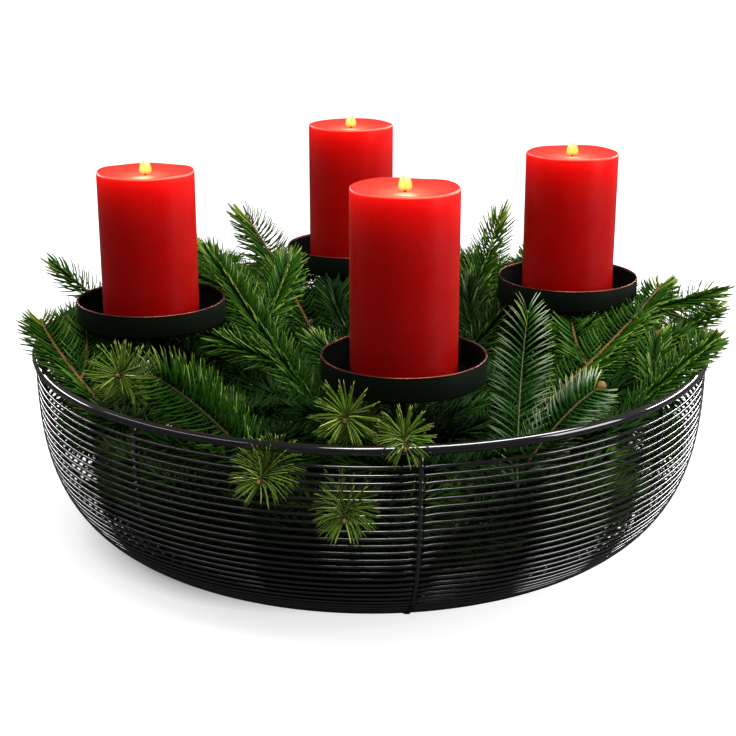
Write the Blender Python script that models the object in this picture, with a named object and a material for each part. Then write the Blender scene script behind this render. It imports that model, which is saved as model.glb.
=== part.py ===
"""A metal advent wreath: a wire bowl of fir sprays with four candles in cups on bent rods.

Metres, +Z up. The origin is on the bowl's axis, on the surface that the bowl stands on. The front
of the bowl faces -Y.
"""
import math
import random
from dataclasses import dataclass

import bmesh
import bpy
import numpy as np
from mathutils import Vector
from mathutils.bvhtree import BVHTree

# Wire bowl
RIM_RADIUS = 0.2140
RIM_HEIGHT = 0.1300
RIM_ROD_RADIUS = 0.0028
WALL_ROUNDNESS = 5.0
WALL_STEEPNESS = 3.0
WIRE_RADIUS = 0.0012
WIRE_ROOM = 0.0009
WIRE_PITCH = 0.0093
WALL_WIRES = 13
RIB_COUNT = 8
RIB_HALF_WIDTH = 0.0015
FRONT_HEADING = math.radians(-83.1)
FOOT_RADIUS = 0.1068
FOOT_RING_HALF = 0.00285
RIB_ROWS = 12
RIB_EASE_START = 0.1400
RIB_EASE_LENGTH = 0.0300
WALL_FOOT_WIRE_RADII = (0.1526, 0.1300)
FLOOR_WIRES = (("floor_wire_outer", 0.0720), ("floor_wire_inner", 0.0360))
WELD_SINK = 0.0006
PROFILE_STEPS = 4000
NORMAL_STEP = 0.0005
RIM_SIDES = 6
WIRE_SIDES = 3

# Cups, and the two bent rods that carry them
ROD_RADIUS = 0.0020
ROD_BEND = 0.0400
ROD_BEND_STEPS = 6
ROD_SIDES = 6
LOW_ROD_HEIGHT = 0.0080
CUP_RADIUS = 0.0462
CUP_DEPTH = 0.0144
CUP_SHEET = 0.0012
CUP_RIM_HEIGHT = 0.1630

# Candles
CANDLE_RADIUS = 0.0300
CANDLE_EDGE = 0.0012
DISH_RADIUS = 0.0275
DISH_DEPTH = 0.0030
DISH_STEP_OUT = 0.62
DISH_STEP_UP = 0.20
WICK_RADIUS = 0.0010
WICK_ABOVE = 0.0085
WICK_BELOW = 0.0150
WICK_SIDES = 8

# Fir sprays
TWIG_ROOT_RADIUS = 0.0014
TWIG_TIP_RADIUS = 0.0009
TWIG_SIDES = 3
ROW_PITCH = 0.0072
INSIDE_PITCH = 0.0152
MIDDLE_PITCH = 0.0100
FEWEST_ROWS = 3
ARC_STEPS = 80
ROW_TWIST = math.radians(75)
NEEDLE_LEAN = math.radians(52)
NEEDLE_JITTER = 0.05
NEEDLE_SPREAD = (0.92, 1.05)
TIP_SHORTER = 0.30
ROOT_SHORTER = 0.25
TIP_CLOSER = 0.45
TIP_NEEDLE_SHARE = 0.7
NEEDLE_TRIM = 0.92
TRIM_HALVINGS = 4
NEEDLE_ZONES = ((0.0, 0.4, 0.0018), (0.4, 0.8, 0.0010), (0.8, 0.94, 0.0004), (0.94, 1.0, 0.0001))
SHORTEST_NEEDLE = 0.0080
SIDE_SHARE = 0.62
FIRST_SIDE = 0.26
SIDES_SPREAD = 0.46
SIDE_TAPER = 1.2
SIDE_CURL = 0.12
SIDE_TRIM = 0.9
SHORTEST_SIDE = 0.0260
UPRIGHT = 0.2
SEED = 24
FAR = 0.0060
ROOM_STEPS = 12

CLEARANCE = 0.0003
ROUND_SEGMENTS = 32
RIM_SEGMENTS = 40
WIRE_SEGMENTS = 24
MERGE_DISTANCE = 1e-6
SMOOTH_ANGLE = math.radians(40)
NEEDLE_SMOOTH_ANGLE = math.radians(60)


@dataclass(frozen=True)
class Arm:
    """One candle's place, and the height of the candle above its cup's rim."""

    name: str
    x: float
    y: float
    candle_above: float


ARMS = (
    Arm("left", -0.1385, -0.0280, 0.0805),
    Arm("right", 0.1315, 0.0320, 0.0823),
    Arm("front", 0.0180, -0.1480, 0.0927),
    Arm("back", -0.0140, 0.1260, 0.0870),
)


@dataclass(frozen=True)
class Spray:
    """A fir shoot: its root, a point it bends through, its tip, its needles and its side shoots."""

    name: str
    root: tuple
    bend: tuple
    tip: tuple
    needle: float = 0.019
    sides: int = 0
    flatness: float = 0.75
    pitch: float = ROW_PITCH


# Places in millimetres, from the root to the tip
SPRAYS = (
    Spray("spray_left_far", (-152, -98, 104), (-197, -66, 134), (-226, -31, 152), 0.019, 2),
    Spray("spray_left_back", (-158, 60, 108), (-192, 70, 136), (-220, 76, 158), 0.016, 1),
    Spray("spray_left_star", (-140, -88, 112), (-144, -106, 134), (-145, -124, 142), 0.017, 0, 1.0),
    Spray("spray_left_front", (-62, -188, 112), (-96, -158, 134), (-133, -128, 146), 0.020),
    Spray("spray_left_inner", (-30, -82, 104), (-72, -20, 142), (-110, 46, 176), 0.020, 3),
    Spray("spray_back_left", (-36, 60, 104), (-64, 104, 142), (-97, 150, 180), 0.020, 1),
    Spray("spray_back_right", (48, 40, 108), (74, 96, 136), (94, 136, 180), 0.020, 1),
    Spray("spray_front_frond", (73, -196, 102), (82, -134, 136), (96, -76, 174), 0.021, 0, 0.35),
    Spray("spray_right_high", (106, -92, 114), (158, -34, 140), (200, 30, 159), 0.020, 2),
    Spray("spray_right_far", (166, -22, 114), (203, -2, 136), (229, 22, 150), 0.018, 0),
    Spray("spray_right_low", (152, -102, 112), (194, -72, 134), (218, -44, 140), 0.016, 1),
    Spray("spray_right_bud", (84, -186, 112), (104, -174, 134), (126, -152, 144), 0.017),
    Spray("spray_front_star", (-6, -160, 116), (-12, -184, 138), (-14, -204, 143), 0.017, 0, 1.0),
    Spray("spray_rim_star", (16, -176, 118), (17, -202, 138), (17, -221, 139), 0.016, 0, 1.0),
    Spray("spray_wire_star_high", (-50, -178, 112), (-54, -200, 115), (-58, -222, 115.9), 0.016, 0, 1.0),
    Spray("spray_wire_star_low", (-12, -180, 88), (-13, -204, 97), (-14, -229, 97.4), 0.017, 0, 1.0),
    Spray("spray_middle_front", (20.5, -145.6, 97), (20, -66, 132), (2, -18, 146), 0.019, 2),
    Spray("spray_middle_back", (-26, 6, 104), (0, 50, 134), (34, 86, 150), 0.019, 2),
    Spray("spray_middle_right", (52, -10, 104), (84, 24, 132), (112, 74, 144), 0.019, 1),
    Spray("spray_back_rim_left", (-96, 118, 106), (-126, 160, 134), (-142, 190, 150), 0.018, 1),
    Spray("spray_back_rim", (-34, 168, 106), (-2, 194, 134), (30, 224, 150), 0.018, 1),
    Spray("spray_back_rim_right", (110, 104, 106), (144, 142, 134), (170, 166, 152), 0.018, 1),
    Spray("spray_inside_front_left", (-21, -12, 46), (-88, -62, 50), (-165, -95, 60), 0.024, 3,
          pitch=INSIDE_PITCH),
    Spray("spray_inside_front", (-3, -26, 78), (-22, -106, 80), (-24, -195, 88), 0.024, 3,
          pitch=INSIDE_PITCH),
    Spray("spray_inside_front_right", (19, -15, 48), (91, -59, 51), (150, -117, 60), 0.024, 3,
          pitch=INSIDE_PITCH),
    Spray("spray_inside_right", (23, 12, 76), (93, 56, 80), (175, 89, 90), 0.024, 3,
          pitch=INSIDE_PITCH),
    Spray("spray_inside_back", (4, 24, 46), (26, 105, 50), (33, 187, 60), 0.024, 3,
          pitch=INSIDE_PITCH),
    Spray("spray_inside_left", (-19, 18, 80), (-84, 68, 86), (-141, 136, 92), 0.024, 3,
          pitch=INSIDE_PITCH),
    Spray("spray_inside_middle", (-72, -64, 30), (0, -30, 22), (64, 34, 29), 0.020, pitch=MIDDLE_PITCH),
)


def clear_scene():
    for thing in list(bpy.data.objects):
        bpy.data.objects.remove(thing, do_unlink=True)


def make_material(name, colour, roughness, metallic=0.0):
    material = bpy.data.materials.new(name)
    material.use_nodes = True
    shader = material.node_tree.nodes["Principled BSDF"]
    shader.inputs["Base Color"].default_value = (*colour, 1.0)
    shader.inputs["Roughness"].default_value = roughness
    shader.inputs["Metallic"].default_value = metallic
    material.diffuse_color = (*colour, 1.0)
    return material


def add_object(name, bm, material, smooth_angle=SMOOTH_ANGLE):
    """Turn a closed bmesh into a named object with its faces pointing out."""
    bmesh.ops.recalc_face_normals(bm, faces=bm.faces)
    mesh = bpy.data.meshes.new(name)
    bm.to_mesh(mesh)
    bm.free()
    mesh.materials.append(material)
    mesh.shade_smooth()
    mesh.set_sharp_from_angle(angle=smooth_angle)
    thing = bpy.data.objects.new(name, mesh)
    bpy.context.scene.collection.objects.link(thing)
    return thing


class Clear:
    """The space that is already taken: round-ended rods, upright cylinders and finished skins."""

    def __init__(self):
        self.starts = np.empty((0, 3))
        self.ends = np.empty((0, 3))
        self.radii = np.empty(0)
        self.cylinders = []
        self.skins = []

    def take(self, points, radius):
        self.starts = np.vstack([self.starts, points[:-1]])
        self.ends = np.vstack([self.ends, points[1:]])
        self.radii = np.concatenate([self.radii, np.full(len(points) - 1, radius)])

    def take_skin(self, thing):
        """Take the true surface of a finished piece, for needles that pass close by."""
        mesh = thing.data
        self.skins.append(BVHTree.FromPolygons([vert.co for vert in mesh.vertices],
                                               [face.vertices for face in mesh.polygons]))

    def add(self, other):
        self.starts = np.vstack([self.starts, other.starts])
        self.ends = np.vstack([self.ends, other.ends])
        self.radii = np.concatenate([self.radii, other.radii])

    def take_cylinder(self, x, y, radius, low, high):
        self.cylinders.append((x, y, radius, low, high))

    def room(self, start, end):
        """Distance from the middle line of a new needle to what is taken, or FAR if it is more."""
        nearest = FAR
        low = np.minimum(start, end) - FAR
        high = np.maximum(start, end) + FAR
        near = np.all((np.minimum(self.starts, self.ends) < high)
                      & (np.maximum(self.starts, self.ends) > low), axis=1)
        if near.any():
            gaps = rod_distances(start, end, self.starts[near], self.ends[near]) - self.radii[near]
            nearest = min(nearest, float(gaps.min()))
        for step in np.linspace(0.0, 1.0, ROOM_STEPS):
            point = start + (end - start) * step
            for x, y, radius, floor, top in self.cylinders:
                aside = math.hypot(point[0] - x, point[1] - y) - radius
                above = max(floor - point[2], point[2] - top)
                gap = math.hypot(max(aside, 0.0), max(above, 0.0)) + min(0.0, max(aside, above))
                nearest = min(nearest, gap)
        return nearest


def rod_distances(start, end, starts, ends):
    """Distances between one segment and many."""
    u = end - start
    v = ends - starts
    w = start - starts
    a = u @ u
    b = v @ u
    c = np.einsum("ij,ij->i", v, v)
    d = w @ u
    e = np.einsum("ij,ij->i", v, w)
    spread = np.maximum(a * c - b * b, 1e-16)
    s = np.clip((b * e - c * d) / spread, 0.0, 1.0)
    t = np.clip((b * s + e) / c, 0.0, 1.0)
    s = np.clip((b * t - d) / a, 0.0, 1.0)
    gap = w + s[:, None] * u - t[:, None] * v
    return np.sqrt(np.einsum("ij,ij->i", gap, gap))


def bowl_profile():
    """Points down the bowl's wall from the rim to the foot, with the outward normal at each."""
    depths = RIM_HEIGHT * np.linspace(0.0, 1.0, PROFILE_STEPS + 1)
    radii = RIM_RADIUS * (1.0 - (depths / RIM_HEIGHT) ** WALL_STEEPNESS) ** (1.0 / WALL_ROUNDNESS)
    lengths = np.concatenate([[0.0], np.cumsum(np.hypot(np.diff(depths), np.diff(radii)))])
    return lengths, radii, RIM_HEIGHT - depths


PROFILE = bowl_profile()


def wall_at(length):
    """Radius, height and outward normal of the wall at a length down from the rim."""
    lengths, radii, heights = PROFILE
    above, below = length - NORMAL_STEP, length + NORMAL_STEP
    radius = float(np.interp(length, lengths, radii))
    height = float(np.interp(length, lengths, heights))
    slope_r = float(np.interp(below, lengths, radii) - np.interp(above, lengths, radii))
    slope_z = float(np.interp(below, lengths, heights) - np.interp(above, lengths, heights))
    size = math.hypot(slope_r, slope_z)
    return radius, height, (-slope_z / size, slope_r / size)


def wall_length(radius):
    """Length down the wall at which it has come in to a radius."""
    lengths, radii, _ = PROFILE
    return float(np.interp(-radius, -radii, lengths))


def section_points(count, radius, turn):
    return [(radius * math.cos(turn + k * math.tau / count), radius * math.sin(turn + k * math.tau / count))
            for k in range(count)]


def square_points(half):
    return section_points(4, half * math.sqrt(2), math.pi / 4)


def wire_ring(bm, radius, height, section, headings, closed=True):
    """A ring with a given section of (out, up) points, closed or cut open with two ends."""
    loops = []
    for heading in headings:
        loops.append([bm.verts.new(((radius + out) * math.cos(heading), (radius + out) * math.sin(heading),
                                    height + up)) for out, up in section])
    join_loops(bm, loops, closed)


def ring_headings(segments):
    return [FRONT_HEADING + math.tau * k / segments for k in range(segments)]


def join_loops(bm, loops, closed=False):
    """Skin a list of vertex loops, and cap both ends unless the skin closes on itself."""
    pairs = list(zip(loops, loops[1:]))
    if closed:
        pairs.append((loops[-1], loops[0]))
    for near, far in pairs:
        size = len(near)
        for k in range(size):
            bm.faces.new((near[k], near[(k + 1) % size], far[(k + 1) % size], far[k]))
    if not closed:
        bm.faces.new(loops[0])
        bm.faces.new(loops[-1])


def frames_along(points):
    """Tangent and two side directions at each point, carried along without twist."""
    tangents = []
    for k in range(len(points)):
        ahead = points[min(k + 1, len(points) - 1)]
        behind = points[max(k - 1, 0)]
        tangents.append((ahead - behind).normalized())
    side = tangents[0].orthogonal().normalized()
    frames = []
    for tangent in tangents:
        side = (side - tangent * side.dot(tangent)).normalized()
        frames.append((tangent, side, tangent.cross(side)))
    return frames


def tube(bm, points, radius, sides):
    """A bent rod of even thickness with flat ends."""
    loops = []
    for point, (_, side, other) in zip(points, frames_along(points)):
        loops.append([bm.verts.new(point + side * x + other * y)
                      for x, y in section_points(sides, radius, math.pi / sides)])
    join_loops(bm, loops)


def rib_points(heading, in_line):
    """The middle line of a rib wire, from under the rim down to the foot ring."""
    last = wall_length(FOOT_RADIUS)
    inset = WIRE_RADIUS / 2 + CLEARANCE + RIB_HALF_WIDTH * (1 + math.tan(math.pi / WIRE_SEGMENTS))
    top = RIM_ROD_RADIUS * math.cos(math.pi / RIM_SIDES) + CLEARANCE
    points = []
    for length in np.linspace(top, last, RIB_ROWS + 1):
        radius, height, (out, up) = wall_at(float(length))
        shift = inset
        if in_line:
            ease = min(max((length - RIB_EASE_START) / RIB_EASE_LENGTH, 0.0), 1.0)
            shift = inset * ease * ease * (3 - 2 * ease)
        points.append(Vector(((radius - out * shift) * math.cos(heading),
                              (radius - out * shift) * math.sin(heading), height - up * shift)))
    return points


def rib_heading(number):
    return FRONT_HEADING + number * math.tau / RIB_COUNT


def basket_frame(steel, taken):
    """The ribs, welded to the foot ring and to the two lowest wires, as one body."""
    pieces = []
    for number in range(RIB_COUNT):
        bm = bmesh.new()
        heading = rib_heading(number)
        points = rib_points(heading, number == 0)
        across = Vector((-math.sin(heading), math.cos(heading), 0.0))
        loops = []
        for point, (tangent, _, _) in zip(points, frames_along(points)):
            outward = tangent.cross(across).normalized()
            loops.append([bm.verts.new(point + across * x + outward * y)
                          for x, y in square_points(RIB_HALF_WIDTH)])
        join_loops(bm, loops)
        pieces.append(add_object(f"rib_{number}", bm, steel))
        taken.take(np.array(points), RIB_HALF_WIDTH * math.sqrt(2))
    foot = bmesh.new()
    wire_ring(foot, FOOT_RADIUS, FOOT_RING_HALF, square_points(FOOT_RING_HALF), ring_headings(WIRE_SEGMENTS))
    pieces.append(add_object("foot", foot, steel))
    taken.take(ring_points(FOOT_RADIUS, FOOT_RING_HALF, ring_headings(WIRE_SEGMENTS)),
               FOOT_RING_HALF * math.sqrt(2))
    for radius in WALL_FOOT_WIRE_RADII:
        _, height, (out, up) = wall_at(wall_length(radius))
        centre_r = radius - out * (WELD_SINK + CLEARANCE)
        centre_z = height - up * (WELD_SINK + CLEARANCE)
        bm = bmesh.new()
        wire_ring(bm, centre_r, centre_z, section_points(WIRE_SIDES, WIRE_RADIUS, math.atan2(up, out)),
                  ring_headings(WIRE_SEGMENTS))
        pieces.append(add_object("low_wire", bm, steel))
        taken.take(ring_points(centre_r, centre_z, ring_headings(WIRE_SEGMENTS)), WIRE_ROOM)
    taken.take_skin(join_pieces("basket_frame", pieces))


def floor_wires(steel, taken):
    """The wires of the bowl's floor, level with the foot ring, which hang on the lower bent rod."""
    height = 2 * FOOT_RING_HALF - WIRE_RADIUS
    for name, radius in FLOOR_WIRES:
        bm = bmesh.new()
        section = section_points(WIRE_SIDES, WIRE_RADIUS, math.pi / 2)
        wire_ring(bm, radius, height, section, ring_headings(WIRE_SEGMENTS))
        taken.take_skin(add_object(name, bm, steel))
        taken.take(ring_points(radius, height, ring_headings(WIRE_SEGMENTS)), WIRE_ROOM)


def join_pieces(name, pieces):
    """One Boolean union of all pieces, kept under one name."""
    body = pieces[0]
    body.name = name
    body.data.name = name
    group = bpy.data.collections.new(name + "_pieces")
    for piece in pieces[1:]:
        group.objects.link(piece)
    union = body.modifiers.new("union", "BOOLEAN")
    union.operation = "UNION"
    union.operand_type = "COLLECTION"
    union.collection = group
    union.solver = "MANIFOLD"
    graph = bpy.context.evaluated_depsgraph_get()
    joined = bpy.data.meshes.new_from_object(body.evaluated_get(graph))
    body.modifiers.remove(union)
    body.data = joined
    joined.name = name
    for piece in pieces[1:]:
        bpy.data.objects.remove(piece, do_unlink=True)
    bpy.data.collections.remove(group)
    return body


def ring_points(radius, height, headings):
    headings = np.array([*headings, headings[0] + math.tau])
    level = np.full_like(headings, height)
    return np.stack([radius * np.cos(headings), radius * np.sin(headings), level], -1)


def basket_wires(steel, taken):
    """The rim rod, and the wall's wires, whose ends meet at the front rib."""
    bm = bmesh.new()
    section = section_points(RIM_SIDES, RIM_ROD_RADIUS, 0.0)
    wire_ring(bm, RIM_RADIUS, RIM_HEIGHT, section, ring_headings(RIM_SEGMENTS))
    taken.take_skin(add_object("basket_rim", bm, steel))
    taken.take(ring_points(RIM_RADIUS, RIM_HEIGHT, ring_headings(RIM_SEGMENTS)), RIM_ROD_RADIUS)
    for number in range(1, WALL_WIRES + 1):
        radius, height, (out, up) = wall_at(number * WIRE_PITCH)
        aside = (RIB_HALF_WIDTH + CLEARANCE) / radius
        between = ring_headings(WIRE_SEGMENTS)[1:]
        headings = [FRONT_HEADING + aside, *between, FRONT_HEADING + math.tau - aside]
        section = section_points(WIRE_SIDES, WIRE_RADIUS, math.atan2(up, out))
        bm = bmesh.new()
        wire_ring(bm, radius, height, section, headings, False)
        taken.take_skin(add_object(f"wire_{number:02d}", bm, steel))
        taken.take(ring_points(radius, height, ring_headings(WIRE_SEGMENTS)), WIRE_ROOM)


def bent_rod(name, first, last, height, steel, taken):
    """A rod from under one cup, down, across the bowl's floor and up under the opposite cup."""
    top = CUP_RIM_HEIGHT - CUP_DEPTH - CLEARANCE
    start = Vector((first.x, first.y, 0.0))
    stop = Vector((last.x, last.y, 0.0))
    along = (stop - start).normalized()
    points = [start + Vector((0, 0, top))]
    for end, direction, order in ((start, along, 1), (stop, -along, -1)):
        bend = []
        for k in range(ROD_BEND_STEPS + 1):
            angle = math.pi / 2 * k / ROD_BEND_STEPS
            bend.append(end + direction * ROD_BEND * (1 - math.cos(angle))
                        + Vector((0, 0, height + ROD_BEND * (1 - math.sin(angle)))))
        points.extend(bend[::order])
    points.append(stop + Vector((0, 0, top)))
    bm = bmesh.new()
    tube(bm, points, ROD_RADIUS, ROD_SIDES)
    taken.take_skin(add_object(name, bm, steel))
    taken.take(np.array(points), ROD_RADIUS)


def turned(name, profile, x, y, material):
    """A round piece from (radius, height) points that start and end on its axis."""
    bm = bmesh.new()
    verts = [bm.verts.new((radius, 0.0, height)) for radius, height in profile]
    edges = [bm.edges.new(pair) for pair in zip(verts, verts[1:])]
    bmesh.ops.spin(bm, geom=verts + edges, cent=(0, 0, 0), axis=(0, 0, 1), angle=math.tau,
                   steps=ROUND_SEGMENTS, use_merge=True)
    bmesh.ops.remove_doubles(bm, verts=bm.verts, dist=MERGE_DISTANCE)
    thing = add_object(name, bm, material)
    thing.location = (x, y, 0.0)
    return thing


def cup(arm, steel, taken):
    low = CUP_RIM_HEIGHT - CUP_DEPTH
    inner = CUP_RADIUS - CUP_SHEET
    profile = ((0.0, low), (CUP_RADIUS, low), (CUP_RADIUS, CUP_RIM_HEIGHT), (inner, CUP_RIM_HEIGHT),
               (inner, low + CUP_SHEET), (0.0, low + CUP_SHEET))
    turned("cup_" + arm.name, profile, arm.x, arm.y, steel)
    taken.take_cylinder(arm.x, arm.y, CUP_RADIUS, low, CUP_RIM_HEIGHT)


def candle(arm, wax, cotton, taken):
    """A pillar candle with a dished top and a hole in it for the wick."""
    low = CUP_RIM_HEIGHT - CUP_DEPTH + CUP_SHEET + CLEARANCE
    top = CUP_RIM_HEIGHT + arm.candle_above
    dish = top - DISH_DEPTH
    profile = ((0.0, low), (CANDLE_RADIUS, low), (CANDLE_RADIUS, top - CANDLE_EDGE), (DISH_RADIUS, top),
               (DISH_RADIUS * DISH_STEP_OUT, dish + DISH_DEPTH * DISH_STEP_UP), (0.0, dish))
    body = turned("candle_" + arm.name, profile, arm.x, arm.y, wax)
    hole = wick_rod(arm, dish - WICK_BELOW - CLEARANCE, dish + WICK_ABOVE, WICK_RADIUS + CLEARANCE, cotton,
                    "hole")
    cut = body.modifiers.new("wick_hole", "BOOLEAN")
    cut.operation = "DIFFERENCE"
    cut.object = hole
    graph = bpy.context.evaluated_depsgraph_get()
    body.data = bpy.data.meshes.new_from_object(body.evaluated_get(graph))
    body.data.name = body.name
    body.modifiers.clear()
    bpy.data.objects.remove(hole, do_unlink=True)
    wick_rod(arm, dish - WICK_BELOW, dish + WICK_ABOVE, WICK_RADIUS, cotton, "wick_" + arm.name)
    taken.take_cylinder(arm.x, arm.y, CANDLE_RADIUS, low, top)
    taken.take_cylinder(arm.x, arm.y, WICK_RADIUS, top - DISH_DEPTH, dish + WICK_ABOVE)


def wick_rod(arm, low, high, radius, cotton, name):
    bm = bmesh.new()
    tube(bm, [Vector((arm.x, arm.y, low)), Vector((arm.x, arm.y, high))], radius, WICK_SIDES)
    return add_object(name, bm, cotton)


def arc_points(root, bend, tip, pitch):
    """Evenly spaced points on the arc from a root through a bend to a tip."""
    middle = bend * 2 - (root + tip) * 0.5
    fine = []
    for k in range(ARC_STEPS + 1):
        t = k / ARC_STEPS
        fine.append(root * (1 - t) ** 2 + middle * 2 * t * (1 - t) + tip * t * t)
    steps = np.cumsum([0.0] + [(far - near).length for near, far in zip(fine, fine[1:])])
    rows = max(round(steps[-1] / pitch), FEWEST_ROWS)
    points = []
    for distance in np.linspace(0.0, steps[-1], rows + 1):
        points.append(Vector([float(np.interp(distance, steps, [point[axis] for point in fine]))
                              for axis in range(3)]))
    return points


def skin_shoot(bm, points, first=None):
    """A slim three-sided twig along the points, from its own root or out of a face of another.

    Gives the rows of triangles that needles are drawn out of, and the face at the tip.
    """
    frames = frames_along(points)
    if first is None:
        turn = 0.0
        loop = twig_ring(bm, points[0], frames[0], TWIG_ROOT_RADIUS, turn)
        bm.faces.new(loop)
    else:
        loop, turn = ordered_corners(first, points[0], frames[0])
    rows = []
    for k in range(1, len(points)):
        share = k / (len(points) - 1)
        radius = TWIG_ROOT_RADIUS + (TWIG_TIP_RADIUS - TWIG_ROOT_RADIUS) * share
        turn += ROW_TWIST
        near = loop
        loop = twig_ring(bm, points[k], frames[k], radius, turn)
        row = []
        for i in range(TWIG_SIDES):
            j = (i + 1) % TWIG_SIDES
            row.append(bm.faces.new((near[i], near[j], loop[i])))
            row.append(bm.faces.new((near[j], loop[j], loop[i])))
        rows.append(row)
    return rows, bm.faces.new(loop)


def twig_ring(bm, point, frame, radius, turn):
    _, side, other = frame
    return [bm.verts.new(point + side * x + other * y) for x, y in section_points(TWIG_SIDES, radius, turn)]


def ordered_corners(corners, point, frame):
    """A face's corners in the turning order of a shoot, and the turn of the ring that fits them."""
    _, side, other = frame
    angles = []
    for corner in corners:
        offset = corner.co - point
        angles.append((math.atan2(offset.dot(other), offset.dot(side)), corner))
    angles.sort(key=lambda pair: pair[0])
    third = math.tau / TWIG_SIDES
    turn = sum(angle - k * third for k, (angle, _) in enumerate(angles)) / TWIG_SIDES
    return [corner for _, corner in angles], turn


def side_shoots(spray, bm, points, rows, kept_clear):
    """Shoots that leave the main twig to the left and right, each as long as the room allows."""
    shoots = []
    for number in range(spray.sides):
        share = FIRST_SIDE + SIDES_SPREAD * number / max(spray.sides - 1, 1)
        k = min(max(round(share * len(rows)), 1), len(rows) - 2)
        tangent = (points[k + 1] - points[k - 1]).normalized()
        level = tangent.cross(Vector((0, 0, 1))).normalized() * (1 if number % 2 else -1)
        face = max(rows[k], key=lambda one: (one.calc_center_median() - points[k]).normalized().dot(level))
        root = face.calc_center_median()
        length = (points[-1] - points[0]).length * SIDE_SHARE * (SIDE_TAPER - share)
        while length > SHORTEST_SIDE:
            way = (tangent + level).normalized()
            bend = root + way * length / 2
            tip = root + way * length + tangent * length * SIDE_CURL
            twig = arc_points(root, bend, tip, spray.pitch)
            if twig_room(twig[2:], kept_clear) > TWIG_ROOT_RADIUS + CLEARANCE:
                corners = list(face.verts)
                rows[k].remove(face)
                bm.faces.remove(face)
                shoots.append((twig, *skin_shoot(bm, twig, corners)))
                break
            length *= SIDE_TRIM
    return shoots


def twig_room(points, kept_clear):
    return min(space.room(np.array(near), np.array(far))
               for near, far in zip(points, points[1:]) for space in kept_clear)


def main_twig(spray):
    root, bend, tip = (Vector(place) * 0.001 for place in (spray.root, spray.bend, spray.tip))
    return arc_points(root, bend, tip, spray.pitch)


def fir_spray(spray, green, taken, dice):
    """A fir shoot with its side shoots, its needles drawn out of its own skin, clear of the rest."""
    points = main_twig(spray)
    around = Clear()
    for other in SPRAYS:
        if other is not spray:
            around.take(np.array(main_twig(other)), TWIG_ROOT_RADIUS)
    bm = bmesh.new()
    shoots = [(points, *skin_shoot(bm, points))]
    shoots.extend(side_shoots(spray, bm, points, shoots[0][1], (taken, around)))
    grown = []
    for number, (twig, rows, cap) in enumerate(shoots):
        own = Clear()
        for other, (other_twig, _, _) in enumerate(shoots):
            if other != number:
                own.take(np.array(other_twig), TWIG_ROOT_RADIUS)
        needles = grow_needles(spray, bm, twig, rows, cap, (taken, around, own, *grown), dice)
        fresh = Clear()
        for foot, end in needles:
            for low, high, room in NEEDLE_ZONES:
                fresh.take(np.array([foot.lerp(end, low), foot.lerp(end, high)]), room)
        grown.append(fresh)
    for space in grown:
        taken.add(space)
    for twig, _, _ in shoots:
        taken.take(np.array(twig), TWIG_ROOT_RADIUS)
    taken.take_skin(add_object(spray.name, bm, green, NEEDLE_SMOOTH_ANGLE))


def grow_needles(spray, bm, points, rows, cap, kept_clear, dice):
    """Draw the faces of a twig out to needles, and give each needle's two ends."""
    grown = []
    for k, row in enumerate(rows):
        share = (k + 0.5) / len(rows)
        tangent = (points[k + 1] - points[k]).normalized()
        middle = points[k].lerp(points[k + 1], 0.5)
        length = spray.needle * (1.0 - TIP_SHORTER * share ** 3 - ROOT_SHORTER * (1 - share) ** 4)
        lean = NEEDLE_LEAN * (1.0 - TIP_CLOSER * share ** 3)
        for face in row:
            foot = face.calc_center_median()
            out = foot - middle
            out = flatten((out - tangent * out.dot(tangent)).normalized(), tangent, spray.flatness)
            way = (tangent * math.cos(lean) + out * math.sin(lean) + jitter(dice)).normalized()
            corners = [vert.co for vert in face.verts]
            end = free_end(corners, way, length * dice.uniform(*NEEDLE_SPREAD), kept_clear)
            if end is not None:
                draw_out(bm, face, end)
                grown.append((foot, end))
    corners = [vert.co for vert in cap.verts]
    ahead = (points[-1] - points[-2]).normalized()
    end = free_end(corners, ahead, spray.needle * TIP_NEEDLE_SHARE, kept_clear)
    if end is not None:
        draw_out(bm, cap, end)
        grown.append((points[-1], end))
    return grown


def flatten(out, tangent, flatness):
    """Turn a needle's side direction towards the level, as needles part on a real shoot."""
    level = tangent.cross(Vector((0, 0, 1)))
    if level.length < UPRIGHT:
        return out
    level.normalize()
    normal = level.cross(tangent).normalized()
    return (level * out.dot(level) + normal * out.dot(normal) * flatness).normalized()


def jitter(dice):
    return Vector([dice.uniform(-NEEDLE_JITTER, NEEDLE_JITTER) for _ in range(3)])


def is_free(corners, foot, end, kept_clear):
    for low, high, room in NEEDLE_ZONES:
        near = np.array(foot.lerp(end, low))
        far = np.array(foot.lerp(end, high))
        if any(space.room(near, far) < room + CLEARANCE for space in kept_clear):
            return False
    needle = BVHTree.FromPolygons([*corners, end], ((0, 1, 3), (1, 2, 3), (2, 0, 3)))
    return not any(needle.overlap(skin) for space in kept_clear for skin in space.skins)


def free_end(corners, way, length, kept_clear):
    """The end of the longest needle that stays clear, or nothing where even a short one hits."""
    foot = sum(corners, Vector()) / len(corners)
    if is_free(corners, foot, foot + way * length, kept_clear):
        return foot + way * length
    blocked = length
    while length > SHORTEST_NEEDLE:
        length *= NEEDLE_TRIM
        if is_free(corners, foot, foot + way * length, kept_clear):
            for _ in range(TRIM_HALVINGS):
                middle = (length + blocked) / 2
                if is_free(corners, foot, foot + way * middle, kept_clear):
                    length = middle
                else:
                    blocked = middle
            return foot + way * length
        blocked = length
    return None


def draw_out(bm, face, point):
    """Draw a face out to a point."""
    corners = list(face.verts)
    bm.faces.remove(face)
    apex = bm.verts.new(point)
    for near, far in zip(corners, corners[1:] + corners[:1]):
        bm.faces.new((near, far, apex))


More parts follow.
